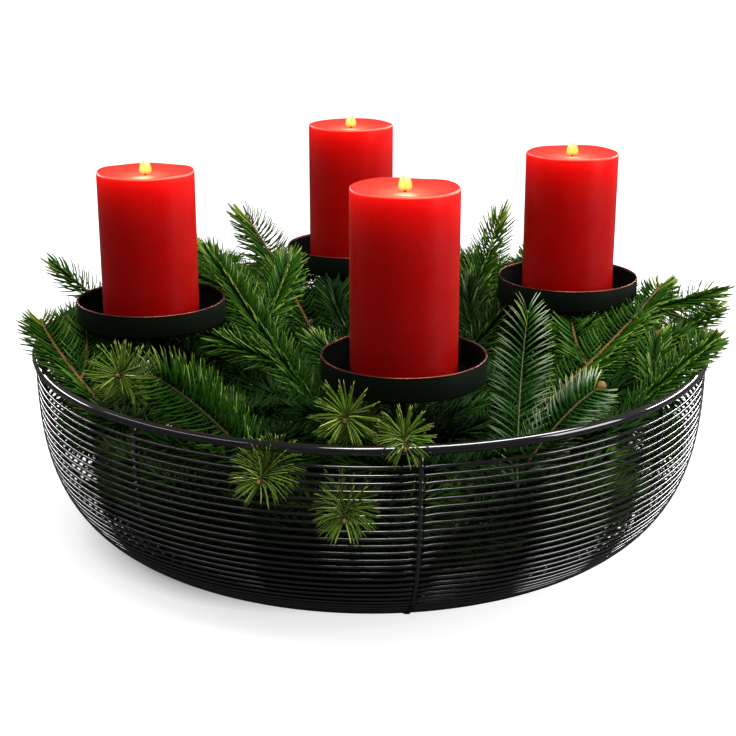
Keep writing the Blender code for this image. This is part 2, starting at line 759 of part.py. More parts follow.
def main():
    clear_scene()
    steel = make_material("black_powder_coated_steel", (0.012, 0.012, 0.013), 0.45, 0.3)
    wax = make_material("red_wax", (0.45, 0.006, 0.008), 0.38)
    cotton = make_material("wick_cotton", (0.05, 0.03, 0.02), 0.9)
    green = make_material("fir_green", (0.03, 0.11, 0.015), 0.5)
    taken = Clear()
    basket_wires(steel, taken)
    basket_frame(steel, taken)
    floor_wires(steel, taken)
    left, right, front, back = ARMS
    bent_rod("rod_front_back", front, back, LOW_ROD_HEIGHT, steel, taken)
    bent_rod("rod_left_right", left, right, LOW_ROD_HEIGHT + 2 * ROD_RADIUS + CLEARANCE, steel, taken)
    for arm in ARMS:
        cup(arm, steel, taken)
        candle(arm, wax, cotton, taken)
    dice = random.Random(SEED)
    for spray in SPRAYS:
        fir_spray(spray, green, taken, dice)


main()
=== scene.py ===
"""Looks of the metal advent wreath: a black wire bowl, four red candles in cups, and fir sprays.

Metres, +Z up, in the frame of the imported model. The bowl's axis is the Z axis, and the camera
stands on the -Y side. Places of fir shoots are written in millimetres.
"""

import logging
import math
from dataclasses import dataclass, field
from enum import Enum

import bpy
import numpy as np
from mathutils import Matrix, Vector


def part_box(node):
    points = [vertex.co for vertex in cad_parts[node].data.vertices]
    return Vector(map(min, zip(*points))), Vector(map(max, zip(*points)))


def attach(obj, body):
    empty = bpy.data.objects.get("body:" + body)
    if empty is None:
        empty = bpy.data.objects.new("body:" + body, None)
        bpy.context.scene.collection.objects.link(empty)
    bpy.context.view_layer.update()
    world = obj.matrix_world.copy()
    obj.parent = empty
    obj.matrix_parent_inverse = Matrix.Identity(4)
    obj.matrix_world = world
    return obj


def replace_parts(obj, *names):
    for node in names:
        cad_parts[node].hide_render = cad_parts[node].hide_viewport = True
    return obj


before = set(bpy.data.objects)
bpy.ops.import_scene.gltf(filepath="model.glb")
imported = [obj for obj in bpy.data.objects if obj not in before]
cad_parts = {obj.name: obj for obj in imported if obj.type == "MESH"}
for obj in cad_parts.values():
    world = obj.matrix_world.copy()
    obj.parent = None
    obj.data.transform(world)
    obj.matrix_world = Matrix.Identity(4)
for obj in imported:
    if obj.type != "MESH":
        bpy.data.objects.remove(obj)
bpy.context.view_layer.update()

LOG = logging.getLogger("advent_wreath")
MM = 0.001
Point = tuple[float, float, float]
ARM_NAMES = ("left", "right", "front", "back")
# Where the front rib stands round the bowl, counted from +X
FRONT_HEADING = math.radians(-83.1)
# Sockets of a node that mixes two colours: both that go in, and the one that comes out
MIX_FIRST = 6
MIX_SECOND = 7
MIX_RESULT = 2
# Steps round the rim rod, the other rings, and the turned cups and candles
RIM_STEPS = 192
RING_STEPS = 120
TURNED_STEPS = 128
# Steps over a rounded corner, a cup's lip and a weld bead
CORNER_STEPS = 6
LIP_STEPS = 11
BEAD_STEPS = 5
# Sides of twigs, of wicks, of thin wires, and of the rods that show larger
TWIG_SIDES = 6
WICK_SIDES = 10
WIRE_SIDES = 8
ROD_SIDES = 12
RIM_SIDES = 16


def linear(hex_colour: str) -> tuple[float, float, float, float]:
    """Turn an sRGB hex colour to linear RGBA.

    Args:
        hex_colour: A colour such as "#aa2010".

    Returns:
        Red, green, blue and an alpha of 1, linear.
    """
    shares = [int(hex_colour[k:k + 2], 16) / 255 for k in (1, 3, 5)]
    return (*[s / 12.92 if s <= 0.04045 else ((s + 0.055) / 1.055) ** 2.4 for s in shares], 1.0)


def add_node(tree: bpy.types.NodeTree, kind: str, settings: dict | None = None,
             values: dict | None = None, links: dict | None = None) -> bpy.types.Node:
    """Add a node to a tree with its settings, socket values and incoming links.

    Args:
        tree: The node tree.
        kind: The node's type name.
        settings: The node's own properties.
        values: Socket values, by the socket's name or number.
        links: Outputs of earlier nodes, by the name or number of the socket that takes them.

    Returns:
        The new node.
    """
    node = tree.nodes.new(kind)
    for key, value in (settings or {}).items():
        setattr(node, key, value)
    for socket, value in (values or {}).items():
        node.inputs[socket].default_value = value
    for socket, source in (links or {}).items():
        tree.links.new(source, node.inputs[socket])
    return node


def set_ramp(node: bpy.types.Node, stops: tuple[tuple[float, str], ...]) -> None:
    """Set the stops of a colour ramp.

    Args:
        node: The colour ramp.
        stops: Positions from 0 to 1 with their hex colours, in order.
    """
    elements = node.color_ramp.elements
    while len(elements) < len(stops):
        elements.new(0.5)
    for element, (position, colour) in zip(elements, stops):
        element.position = position
        element.color = linear(colour)


def new_material(name: str, values: dict) -> tuple[bpy.types.Material, bpy.types.NodeTree, bpy.types.Node]:
    """Make a material with a Principled shader.

    Args:
        name: The material's name.
        values: Values for the shader's own sockets.

    Returns:
        The material, its tree and its shader.
    """
    material = bpy.data.materials.new(name)
    material.use_nodes = True
    shader = material.node_tree.nodes["Principled BSDF"]
    for socket, value in values.items():
        shader.inputs[socket].default_value = value
    return material, material.node_tree, shader


@dataclass(frozen=True)
class PowderCoatedSteel:
    """Mild steel with a baked black powder coat, which may have clear lacquer over it."""

    name: str = "powder_coated_steel"
    colour: str = "#080e08"
    worn_colour: str = "#0d140d"
    roughness: float = 0.46
    peel_mm: float = 1.4
    shine: float = 0.05
    coat: float = 0.0
    cloud_mm: float = 30.0

    def build(self) -> bpy.types.Material:
        """Build the material.

        Returns:
            The coated steel.
        """
        # The baked powder levels out to a soft satin skin, near black with the faint unevenness of
        # orange peel. The lacquer over the wires is smooth, so they carry thin bright light lines
        material, tree, shader = new_material(self.name, {
            "IOR": 1.5, "Specular IOR Level": self.shine, "Coat Weight": self.coat, "Coat IOR": 1.9,
            "Coat Roughness": 0.07})
        place = add_node(tree, "ShaderNodeTexCoord").outputs["Object"]
        peel = add_node(tree, "ShaderNodeTexNoise",
                        values={"Scale": 1 / (self.peel_mm * MM), "Detail": 2.0},
                        links={"Vector": place})
        cloud = add_node(tree, "ShaderNodeTexNoise",
                         values={"Scale": 1 / (self.cloud_mm * MM), "Detail": 3.0},
                         links={"Vector": place})
        tint = add_node(tree, "ShaderNodeMix", {"data_type": "RGBA"},
                        {MIX_FIRST: linear(self.colour), MIX_SECOND: linear(self.worn_colour)},
                        {0: cloud.outputs["Fac"]})
        gloss = add_node(tree, "ShaderNodeMapRange",
                         values={"To Min": self.roughness - 0.05, "To Max": self.roughness + 0.07},
                         links={"Value": cloud.outputs["Fac"]})
        bump = add_node(tree, "ShaderNodeBump", values={"Strength": 0.12, "Distance": 0.00006},
                        links={"Height": peel.outputs["Fac"]})
        tree.links.new(tint.outputs[MIX_RESULT], shader.inputs["Base Color"])
        tree.links.new(gloss.outputs["Result"], shader.inputs["Roughness"])
        tree.links.new(bump.outputs["Normal"], shader.inputs["Normal"])
        return material


@dataclass(frozen=True)
class BareCopperEdge:
    """The cup's rolled lip, where the coat is thin and a copper wash shows."""

    name: str = "copper_washed_edge"
    colour: str = "#925242"
    dull_colour: str = "#3a211b"
    roughness: float = 0.34
    rub_mm: float = 9.0

    def build(self) -> bpy.types.Material:
        """Build the material.

        Returns:
            The copper-washed edge.
        """
        # Warm metal that flashes rose where it faces the light and goes brown between
        material, tree, shader = new_material(self.name, {"Metallic": 1.0})
        place = add_node(tree, "ShaderNodeTexCoord").outputs["Object"]
        rub = add_node(tree, "ShaderNodeTexNoise", values={"Scale": 1 / (self.rub_mm * MM), "Detail": 4.0},
                       links={"Vector": place})
        tint = add_node(tree, "ShaderNodeMix", {"data_type": "RGBA"},
                        {MIX_FIRST: linear(self.dull_colour), MIX_SECOND: linear(self.colour)},
                        {0: rub.outputs["Fac"]})
        gloss = add_node(tree, "ShaderNodeMapRange",
                         values={"To Min": self.roughness + 0.15, "To Max": self.roughness - 0.1},
                         links={"Value": rub.outputs["Fac"]})
        tree.links.new(tint.outputs[MIX_RESULT], shader.inputs["Base Color"])
        tree.links.new(gloss.outputs["Result"], shader.inputs["Roughness"])
        return material


@dataclass(frozen=True)
class PillarWax:
    """Through-dyed paraffin wax, poured in a mould, with the light of its own flame painted on from the top.
    """

    name: str = "red_paraffin_wax"
    glow_depth_mm: float = 46.0
    mottle_mm: float = 1.7
    cast_mm: float = 22.0

    def build(self) -> bpy.types.Material:
        """Build the material, whose heights count down from the candle's top.

        Returns:
            The wax of the candle's side.
        """
        # Wax lets light in a few millimetres, and its own flame's light is painted on. The colour runs from a
        # pale pink painted highlight at the rim through bright red at the top to a deep red below, and a
        # painted emission glow fades out down the side. It has a satin skin and a fine mottle from cooling.
        # The mottle is drawn a little coarser than real so that it shows
        material, tree, shader = new_material(self.name, {
            "IOR": 1.44, "Specular IOR Level": 0.24, "Subsurface Weight": 0.15,
            "Subsurface Radius": (0.006, 0.0012, 0.0006), "Subsurface Scale": 1.0})
        place = add_node(tree, "ShaderNodeTexCoord").outputs["Object"]
        height = add_node(tree, "ShaderNodeSeparateXYZ", links={0: place}).outputs["Z"]
        depth = add_node(tree, "ShaderNodeMapRange", values={
            "From Min": 0.0, "From Max": -2 * self.glow_depth_mm * MM}, links={"Value": height})
        painted_flame_light = add_node(tree, "ShaderNodeValToRGB", links={0: depth.outputs["Result"]})
        set_ramp(painted_flame_light, ((0.0, "#f8806c"), (0.008, "#f06a58"), (0.016, "#e01a12"), (0.08, "#d00b08"),
                         (0.35, "#b80502"), (0.7, "#a80402"), (1.0, "#940301")))
        mottle = add_node(tree, "ShaderNodeTexNoise",
                          values={"Scale": 1 / (self.mottle_mm * MM), "Detail": 4.0, "Roughness": 0.65},
                          links={"Vector": place})
        cast = add_node(tree, "ShaderNodeTexNoise", values={"Scale": 1 / (self.cast_mm * MM), "Detail": 2.0},
                        links={"Vector": place})
        shade = add_node(tree, "ShaderNodeMapRange",
                         values={"From Min": 0.3, "From Max": 0.7, "To Min": 0.86, "To Max": 1.12},
                         links={"Value": mottle.outputs["Fac"]})
        tint = add_node(tree, "ShaderNodeVectorMath", {"operation": "SCALE"},
                        links={0: painted_flame_light.outputs["Color"], "Scale": shade.outputs["Result"]})
        gloss = add_node(tree, "ShaderNodeMapRange",
                         values={"From Min": 0.3, "From Max": 0.7, "To Min": 0.28, "To Max": 0.46},
                         links={"Value": cast.outputs["Fac"]})
        bump = add_node(tree, "ShaderNodeBump", values={"Strength": 0.34, "Distance": 0.0002},
                        links={"Height": mottle.outputs["Fac"]})
        # Painted glow: an emission that is strongest at the top and fades out downwards
        glow = add_node(tree, "ShaderNodeMapRange", values={
            "From Min": 0.0, "From Max": -self.glow_depth_mm * MM, "To Min": 0.93, "To Max": 0.0},
            links={"Value": height})
        falloff = add_node(tree, "ShaderNodeMath", {"operation": "POWER"}, {1: 4.0},
                           {0: glow.outputs["Result"]})
        shader.inputs["Emission Color"].default_value = linear("#fb0402")
        tree.links.new(tint.outputs["Vector"], shader.inputs["Base Color"])
        tree.links.new(gloss.outputs["Result"], shader.inputs["Roughness"])
        tree.links.new(bump.outputs["Normal"], shader.inputs["Normal"])
        tree.links.new(falloff.outputs["Value"], shader.inputs["Emission Strength"])
        return material


@dataclass(frozen=True)
class MoltenWax:
    """The dished top of a burning candle: soft, half molten wax round the wick, with the flame's light
    painted on as a pale glowing spot a little in front of the wick.
    """

    name: str = "softened_wax_top"
    reach_mm: float = 29.0
    glow_spot_ahead_mm: float = 12.0
    glow_spot_squash: float = 0.6

    def build(self) -> bpy.types.Material:
        """Build the material, whose distances count from the middle of the painted glow spot.

        Returns:
            The wax of the candle's top.
        """
        # Round a spot a little in front of the flame the wax is painted pale and made to glow, as the flame's
        # painted light and highlight; further out it is a milky coral red
        material, tree, shader = new_material(self.name, {
            "IOR": 1.44, "Roughness": 0.2, "Subsurface Weight": 0.25,
            "Subsurface Radius": (0.006, 0.002, 0.001), "Subsurface Scale": 1.0})
        place = add_node(tree, "ShaderNodeTexCoord").outputs["Object"]
        ahead = add_node(tree, "ShaderNodeVectorMath", {"operation": "ADD"},
                         {1: (0.0, self.glow_spot_ahead_mm * MM, 0.0)}, {0: place})
        flat = add_node(tree, "ShaderNodeVectorMath", {"operation": "MULTIPLY"},
                        {1: (1.0, self.glow_spot_squash, 0.0)}, {0: ahead.outputs[0]})
        reach = add_node(tree, "ShaderNodeVectorMath", {"operation": "LENGTH"}, links={0: flat.outputs[0]})
        share = add_node(tree, "ShaderNodeMapRange", values={"From Max": self.reach_mm * MM},
                         links={"Value": reach.outputs["Value"]})
        tint = add_node(tree, "ShaderNodeValToRGB", links={0: share.outputs["Result"]})
        set_ramp(tint, ((0.0, "#ffdcb0"), (0.12, "#ffb084"), (0.26, "#fb6a4c"), (0.6, "#f23c2c"),
                        (1.0, "#ea2a20")))
        # Painted glow: the emission strength falls off from the spot outwards
        glow = add_node(tree, "ShaderNodeValToRGB", links={0: share.outputs["Result"]})
        set_ramp(glow, ((0.0, "#f0f0f0"), (0.16, "#c4c4c4"), (0.4, "#a8a8a8"), (0.9, "#a0a0a0"),
                        (1.0, "#8c8c8c")))
        tree.links.new(tint.outputs["Color"], shader.inputs["Base Color"])
        tree.links.new(tint.outputs["Color"], shader.inputs["Emission Color"])
        tree.links.new(glow.outputs["Color"], shader.inputs["Emission Strength"])
        return material


@dataclass(frozen=True)
class CharredCotton:
    """A braided cotton wick, burnt black above and glowing dark red at its foot."""

    name: str = "charred_cotton"
    char: str = "#1c0d08"
    ember: str = "#8f1c08"
    ember_end_mm: float = -1.0
    char_start_mm: float = 6.0
    braid_mm: float = 1.6

    def build(self) -> bpy.types.Material:
        """Build the material, whose heights count from the candle's top.

        Returns:
            The wick's cotton.
        """
        # Soot swallows the light above, and the cotton is a dull dark red where the flame sits
        material, tree, shader = new_material(self.name, {"Roughness": 0.9})
        place = add_node(tree, "ShaderNodeTexCoord").outputs["Object"]
        height = add_node(tree, "ShaderNodeSeparateXYZ", links={0: place}).outputs["Z"]
        share = add_node(tree, "ShaderNodeMapRange",
                         values={"From Min": self.ember_end_mm * MM, "From Max": self.char_start_mm * MM},
                         links={"Value": height})
        tint = add_node(tree, "ShaderNodeMix", {"data_type": "RGBA"},
                        {MIX_FIRST: linear(self.ember), MIX_SECOND: linear(self.char)},
                        {0: share.outputs["Result"]})
        # The wave texture has some six bands to a unit of its scale
        braid = add_node(tree, "ShaderNodeTexWave",
                         values={"Scale": 1 / (self.braid_mm * MM) / 6, "Distortion": 1.5},
                         links={"Vector": place})
        bump = add_node(tree, "ShaderNodeBump", values={"Strength": 0.5, "Distance": 0.0002},
                        links={"Height": braid.outputs["Fac"]})
        tree.links.new(tint.outputs[MIX_RESULT], shader.inputs["Base Color"])
        tree.links.new(bump.outputs["Normal"], shader.inputs["Normal"])
        return material


@dataclass(frozen=True)
class CandleFlame:
    """Burning wax vapour: a small yellow flame that pales upwards."""

    name: str = "candle_flame"
    height_mm: float = 11.0
    foot_mm: float = -2.0
    strength: float = 1.6

    def build(self) -> bpy.types.Material:
        """Build the material, whose heights count up from the candle's top.

        Returns:
            The flame.
        """
        # Glowing soot has no surface: it is orange at the wick, yellow above it and fades out
        material, tree, shader = new_material(self.name, {
            "Base Color": linear("#000000"), "Roughness": 1.0, "Specular IOR Level": 0.0,
            "Emission Strength": self.strength})
        place = add_node(tree, "ShaderNodeTexCoord").outputs["Object"]
        height = add_node(tree, "ShaderNodeSeparateXYZ", links={0: place}).outputs["Z"]
        share = add_node(tree, "ShaderNodeMapRange",
                         values={"From Min": self.foot_mm * MM, "From Max": self.height_mm * MM},
                         links={"Value": height})
        tint = add_node(tree, "ShaderNodeValToRGB", links={0: share.outputs["Result"]})
        set_ramp(tint, ((0.0, "#ff9a3c"), (0.16, "#ffc850"), (0.4, "#ffe27a"), (0.65, "#fff2c0"),
                        (1.0, "#ffffff")))
        solid = add_node(tree, "ShaderNodeValToRGB", links={0: share.outputs["Result"]})
        set_ramp(solid, ((0.0, "#8c8c8c"), (0.15, "#ffffff"), (0.5, "#d8d8d8"), (0.8, "#6a6a6a"),
                         (1.0, "#000000")))
        edge = add_node(tree, "ShaderNodeLayerWeight", values={"Blend": 0.35})
        core = add_node(tree, "ShaderNodeMath", {"operation": "SUBTRACT"}, {0: 1.0},
                        {1: edge.outputs["Facing"]})
        alpha = add_node(tree, "ShaderNodeMath", {"operation": "MULTIPLY"},
                         links={0: solid.outputs["Color"], 1: core.outputs["Value"]})
        tree.links.new(tint.outputs["Color"], shader.inputs["Emission Color"])
        tree.links.new(alpha.outputs["Value"], shader.inputs["Alpha"])
        return material


@dataclass(frozen=True)
class NeedleColours:
    """The greens of one kind of fir needle, how strong the painted highlight on its skin is, and the colour
    of that highlight, given as wax.
    """

    foot: str
    blade: str
    point: str
    under: str
    painted_glint: float
    wax: str = "#b4c878"


class NeedleTone(Enum):
    """How fresh the needles of a shoot are, how much light or shade is painted into their greens by where
    they lie in the bowl, and how strong their painted highlights are.
    """

    FRESH = NeedleColours("#203a04", "#4a6e0e", "#d8e27c", "#66763a", 1.25, "#d6e48c")
    FROSTED = NeedleColours("#123204", "#1a4a06", "#9ab83c", "#386224", 1.4, "#e6eed6")
    BRIGHT = NeedleColours("#183604", "#224906", "#8fa02a", "#37581c", 0.42)
    MIDDLE = NeedleColours("#122a03", "#193e04", "#5f7c1a", "#2b4a14", 0.4)
    DARK = NeedleColours("#0a1c02", "#0f2a03", "#264c0a", "#15340e", 0.16)
    SHADED = NeedleColours("#040b02", "#071803", "#0e2606", "#081807", 0.02)


@dataclass(frozen=True)
class FirNeedle:
    """Waxy fir needles, dark green above and paler below, with painted highlights."""

    tone: NeedleTone

    def build(self) -> bpy.types.Material:
        """Build the material, which reads where on its needle a point is.

        Returns:
            The needles' skin in this tone.
        """
        # A painted highlight runs pale along the ridge of the blade's outer half, more on some needles than
        # on others.
        # New growth is yellow green, and both edges turn to the paler underside
        name = f"fir_needles_{self.tone.name.lower()}"
        material, tree, shader = new_material(name, {"IOR": 1.42, "Specular IOR Level": 0.08})
        colours = self.tone.value
        along = add_node(tree, "ShaderNodeAttribute", {"attribute_name": "needle_along"}).outputs["Fac"]
        own = add_node(tree, "ShaderNodeAttribute", {"attribute_name": "needle_own"}).outputs["Fac"]
        below = add_node(tree, "ShaderNodeAttribute", {"attribute_name": "needle_under"}).outputs["Fac"]
        green = add_node(tree, "ShaderNodeValToRGB", links={0: along})
        set_ramp(green, ((0.0, colours.foot), (0.45, colours.blade), (0.86, colours.blade),
                         (1.0, colours.point)))
        band = add_node(tree, "ShaderNodeMapRange",
                        values={"From Min": 0.25, "From Max": 0.4, "To Max": 0.35},
                        links={"Value": below})
        pale = add_node(tree, "ShaderNodeMix", {"data_type": "RGBA"}, {MIX_SECOND: linear(colours.under)},
                        {0: band.outputs["Result"], MIX_FIRST: green.outputs["Color"]})
        spread = add_node(tree, "ShaderNodeMapRange", values={"To Min": 0.6, "To Max": 1.4},
                          links={"Value": own})
        tint = add_node(tree, "ShaderNodeVectorMath", {"operation": "SCALE"},
                        links={0: pale.outputs[MIX_RESULT], "Scale": spread.outputs["Result"]})
        outer = add_node(tree, "ShaderNodeMapRange", {"interpolation_type": "SMOOTHSTEP"},
                         {"From Min": 0.3, "From Max": 0.8, "To Max": 0.5 + 0.5 * colours.painted_glint},
                         {"Value": along})
        lucky = add_node(tree, "ShaderNodeMapRange",
                         values={"From Min": 1 - 0.85 * colours.painted_glint, "From Max": 1.05},
                         links={"Value": own})
        ridge = add_node(tree, "ShaderNodeMapRange",
                         values={"From Min": 0.06, "From Max": 0.33, "To Min": 1.0, "To Max": 0.0},
                         links={"Value": below})
        painted_glint_share = add_node(tree, "ShaderNodeMath", {"operation": "MULTIPLY"},
                        links={0: outer.outputs["Result"], 1: lucky.outputs["Result"]})
        painted_glint = add_node(tree, "ShaderNodeMath", {"operation": "MULTIPLY"},
                         links={0: painted_glint_share.outputs["Value"], 1: ridge.outputs["Result"]})
        painted_glint_skin = add_node(tree, "ShaderNodeMix", {"data_type": "RGBA"},
                             {MIX_SECOND: linear(colours.wax)},
                             {0: painted_glint.outputs["Value"], MIX_FIRST: tint.outputs["Vector"]})
        young = add_node(tree, "ShaderNodeMapRange",
                         values={"From Min": 1.05, "From Max": 1.6, "To Max": 0.75},
                         links={"Value": own})
        skin = add_node(tree, "ShaderNodeMix", {"data_type": "RGBA"}, {MIX_SECOND: linear(colours.point)},
                        {0: young.outputs["Result"], MIX_FIRST: painted_glint_skin.outputs[MIX_RESULT]})
        gloss = add_node(tree, "ShaderNodeMapRange", values={"To Min": 0.3, "To Max": 0.46},
                         links={"Value": own})
        tree.links.new(skin.outputs[MIX_RESULT], shader.inputs["Base Color"])
        tree.links.new(gloss.outputs["Result"], shader.inputs["Roughness"])
        return material


@dataclass(frozen=True)
class FirBark:
    """The thin rough bark of a fir twig, or the scales of its buds."""

    name: str
    light: str
    dark: str
    grain_mm: float = 1.1

    def build(self) -> bpy.types.Material:
        """Build the material.

        Returns:
            The bark.
        """
        # Dry, broken and matt, from light ridges to dark furrows, drawn coarser than real so that
        # they show
        material, tree, shader = new_material(self.name, {"Roughness": 0.78})
        place = add_node(tree, "ShaderNodeTexCoord").outputs["Object"]
        grain = add_node(tree, "ShaderNodeTexNoise",
                         values={"Scale": 1 / (self.grain_mm * MM), "Detail": 4.0, "Roughness": 0.7},
                         links={"Vector": place})
        tint = add_node(tree, "ShaderNodeValToRGB", links={0: grain.outputs["Fac"]})
        set_ramp(tint, ((0.32, self.dark), (0.68, self.light)))
        bump = add_node(tree, "ShaderNodeBump", values={"Strength": 0.7, "Distance": 0.0004},
                        links={"Height": grain.outputs["Fac"]})
        tree.links.new(tint.outputs["Color"], shader.inputs["Base Color"])
        tree.links.new(bump.outputs["Normal"], shader.inputs["Normal"])
        return material


class TwigBark(Enum):
    """How old a twig's bark is, or how far it lies in the shade."""

    OLIVE = FirBark("olive_fir_bark", "#574a20", "#231b0c")
    YOUNG = FirBark("young_fir_bark", "#876022", "#40290d")
    SHADED = FirBark("shaded_fir_bark", "#4a3a1a", "#1a1208")
    GREEN = FirBark("green_fir_shoot", "#5c6a34", "#2c361a")


BUD_SCALES = FirBark("resinous_bud_scales", "#96702e", "#4f3210", 0.8)


class MeshStock:
    """Vertices and faces gathered for one piece, with a material number for each face."""

    def __init__(self) -> None:
        """Start empty."""
        self.points: list[np.ndarray] = []
        self.faces: list[np.ndarray] = []
        self.numbers: list[np.ndarray] = []
        self.traits: list[np.ndarray] = []
        self.count = 0

    def add(self, points: np.ndarray, faces: np.ndarray, number: int | np.ndarray = 0,
            traits: np.ndarray | None = None) -> None:
        """Add a patch.

        Args:
            points: The patch's vertices, a row each.
            faces: Triangles or quads as rows of vertex numbers.
            number: The material of its faces, or of each of its triangles.
            traits: Along, own and under values for each vertex, for needles.
        """
        faces = np.asarray(faces)
        if faces.shape[1] == 4:
            faces = np.vstack([faces[:, [0, 1, 2]], faces[:, [0, 2, 3]]])
        self.points.append(points)
        self.faces.append(faces + self.count)
        self.numbers.append(np.broadcast_to(number, (len(faces),)))
        self.traits.append(np.zeros((len(points), 3)) if traits is None else traits)
        self.count += len(points)

    def place(self, name: str, materials: list[bpy.types.Material],
              origin: tuple[float, float, float] = (0.0, 0.0, 0.0),
              slot: str | None = None) -> bpy.types.Object:
        """Make the piece and let it ride on the wreath.

        Args:
            name: The piece's name.
            materials: Its materials, in the order of the faces' numbers.
            origin: Where its own origin is, in the frame.
            slot: A material slot name; not used.

        Returns:
            The new object.
        """
        points = np.vstack(self.points) - np.array(origin)
        faces = np.vstack(self.faces)
        mesh = bpy.data.meshes.new(name)
        mesh.vertices.add(len(points))
        mesh.vertices.foreach_set("co", points.astype(np.float32).ravel())
        mesh.loops.add(faces.size)
        mesh.loops.foreach_set("vertex_index", faces.astype(np.int32).ravel())
        mesh.polygons.add(len(faces))
        mesh.polygons.foreach_set("loop_start", np.arange(0, faces.size, 3, dtype=np.int32))
        mesh.polygons.foreach_set("material_index", np.concatenate(self.numbers).astype(np.int32))
        for column, trait in enumerate(("needle_along", "needle_own", "needle_under")):
            values = np.vstack(self.traits)[:, column]
            if values.any():
                attribute = mesh.attributes.new(trait, "FLOAT", "POINT")
                attribute.data.foreach_set("value", values.astype(np.float32))
        for material in materials:
            mesh.materials.append(material)
        mesh.update(calc_edges=True)
        mesh.validate()
        mesh.shade_smooth()
        piece = bpy.data.objects.new(name, mesh)
        piece.location = origin
        bpy.context.scene.collection.objects.link(piece)
        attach(piece, "root")
        LOG.info("%s: %d triangles", name, len(faces))
        return piece


def frames_along(points: np.ndarray, closed: bool = False) -> tuple[np.ndarray, np.ndarray, np.ndarray]:
    """Work out untwisted frames along a line of points.

    Args:
        points: The line's points, a row each.
        closed: Whether the last point leads back to the first.

    Returns:
        Tangents and two side directions, a row each.
    """
    if closed:
        tangents = np.roll(points, -1, axis=0) - np.roll(points, 1, axis=0)
    else:
        tangents = np.gradient(points, axis=0)
    tangents /= np.linalg.norm(tangents, axis=1)[:, None]
    side = np.cross(tangents[0], (0.0, 0.0, 1.0) if abs(tangents[0][2]) < 0.9 else (1.0, 0.0, 0.0))
    sides = []
    for tangent in tangents:
        side = side - tangent * (side @ tangent)
        side = side / np.linalg.norm(side)
        sides.append(side)
    sides = np.array(sides)
    return tangents, sides, np.cross(tangents, sides)


def sweep_rod(stock: MeshStock, points: np.ndarray, radius: float | np.ndarray, sides: int = 8,
              closed: bool = False, number: int = 0) -> None:
    """Add a round rod along points.

    Args:
        stock: What takes the mesh.
        points: The middle line, a row each.
        radius: One radius, or one for each point.
        sides: Sides of its section.
        closed: Whether it closes on itself.
        number: Its material number.
    """
    _, side, other = frames_along(points, closed)
    count = len(points)
    turn = np.linspace(0.0, math.tau, sides, endpoint=False)
    reach = np.broadcast_to(np.asarray(radius, float), (count,))[:, None, None]
    ring = side[:, None] * np.cos(turn)[None, :, None] + other[:, None] * np.sin(turn)[None, :, None]
    skin = (points[:, None, :] + ring * reach).reshape(-1, 3)
    rows = count if closed else count - 1
    near = np.arange(rows)[:, None] * sides + np.arange(sides)[None, :]
    near_next = np.arange(rows)[:, None] * sides + (np.arange(sides)[None, :] + 1) % sides
    far = (near + sides) % (count * sides)
    far_next = (near_next + sides) % (count * sides)
    quads = np.stack([near, near_next, far_next, far], axis=-1).reshape(-1, 4)
    faces = np.vstack([quads[:, [0, 1, 2]], quads[:, [0, 2, 3]]])
    if not closed:
        step = np.arange(sides)
        after = (step + 1) % sides
        base = (count - 1) * sides
        first = np.stack([after, step, np.full(sides, count * sides)], axis=-1)
        last = np.stack([base + step, base + after, np.full(sides, count * sides + 1)], axis=-1)
        skin = np.vstack([skin, points[:1], points[-1:]])
        faces = np.vstack([faces, first, last])
    stock.add(skin, faces, number)


def turn_profile(stock: MeshStock, profile: np.ndarray, centre: tuple[float, float], segments: int,
                 numbers: list[int] | None = None, wave: np.ndarray | None = None) -> None:
    """Add a turned piece.

    Args:
        stock: What takes the mesh.
        profile: Rows of radius and height, whose first and last rows are on the axis.
        centre: The axis's x and y.
        segments: Steps round.
        numbers: A material number for each step down the profile.
        wave: Heights to add, for each profile row and segment.
    """
    headings = np.linspace(0.0, math.tau, segments, endpoint=False)
    inner = profile[1:-1]
    lift = np.zeros((len(inner), segments)) if wave is None else wave[1:-1]
    rings = np.stack([centre[0] + inner[:, :1] * np.cos(headings),
                      centre[1] + inner[:, :1] * np.sin(headings),
                      inner[:, 1:] + lift], axis=-1)
    ends = np.array([[centre[0], centre[1], profile[0, 1]], [centre[0], centre[1], profile[-1, 1]]])
    points = np.vstack([rings.reshape(-1, 3), ends])
    k = np.arange(segments)
    after = (k + 1) % segments
    numbers = numbers or [0] * (len(profile) - 1)
    last = len(inner) - 1
    first_end = len(inner) * segments
    patches = [(np.stack([after, k, np.full(segments, first_end)], -1), numbers[0])]
    for row in range(last):
        a, b = row * segments, (row + 1) * segments
        patches.append((np.vstack([np.stack([a + k, a + after, b + after], -1),
                                   np.stack([a + k, b + after, b + k], -1)]), numbers[row + 1]))
    patches.append((np.stack([last * segments + k, last * segments + after,
                              np.full(segments, first_end + 1)], -1), numbers[-1]))
    stock.add(points, np.vstack([patch for patch, _ in patches]),
              np.concatenate([np.full(len(patch), number) for patch, number in patches]))


def level_ring(radius: float, height: float, steps: int) -> np.ndarray:
    """Work out the middle line of a level ring round the bowl's axis.

    Args:
        radius: Its radius.
        height: Its height.
        steps: Steps round.

    Returns:
        The points, a row each.
    """
    headings = np.linspace(0.0, math.tau, steps, endpoint=False)
    return np.stack([radius * np.cos(headings), radius * np.sin(headings), np.full(steps, height)], -1)


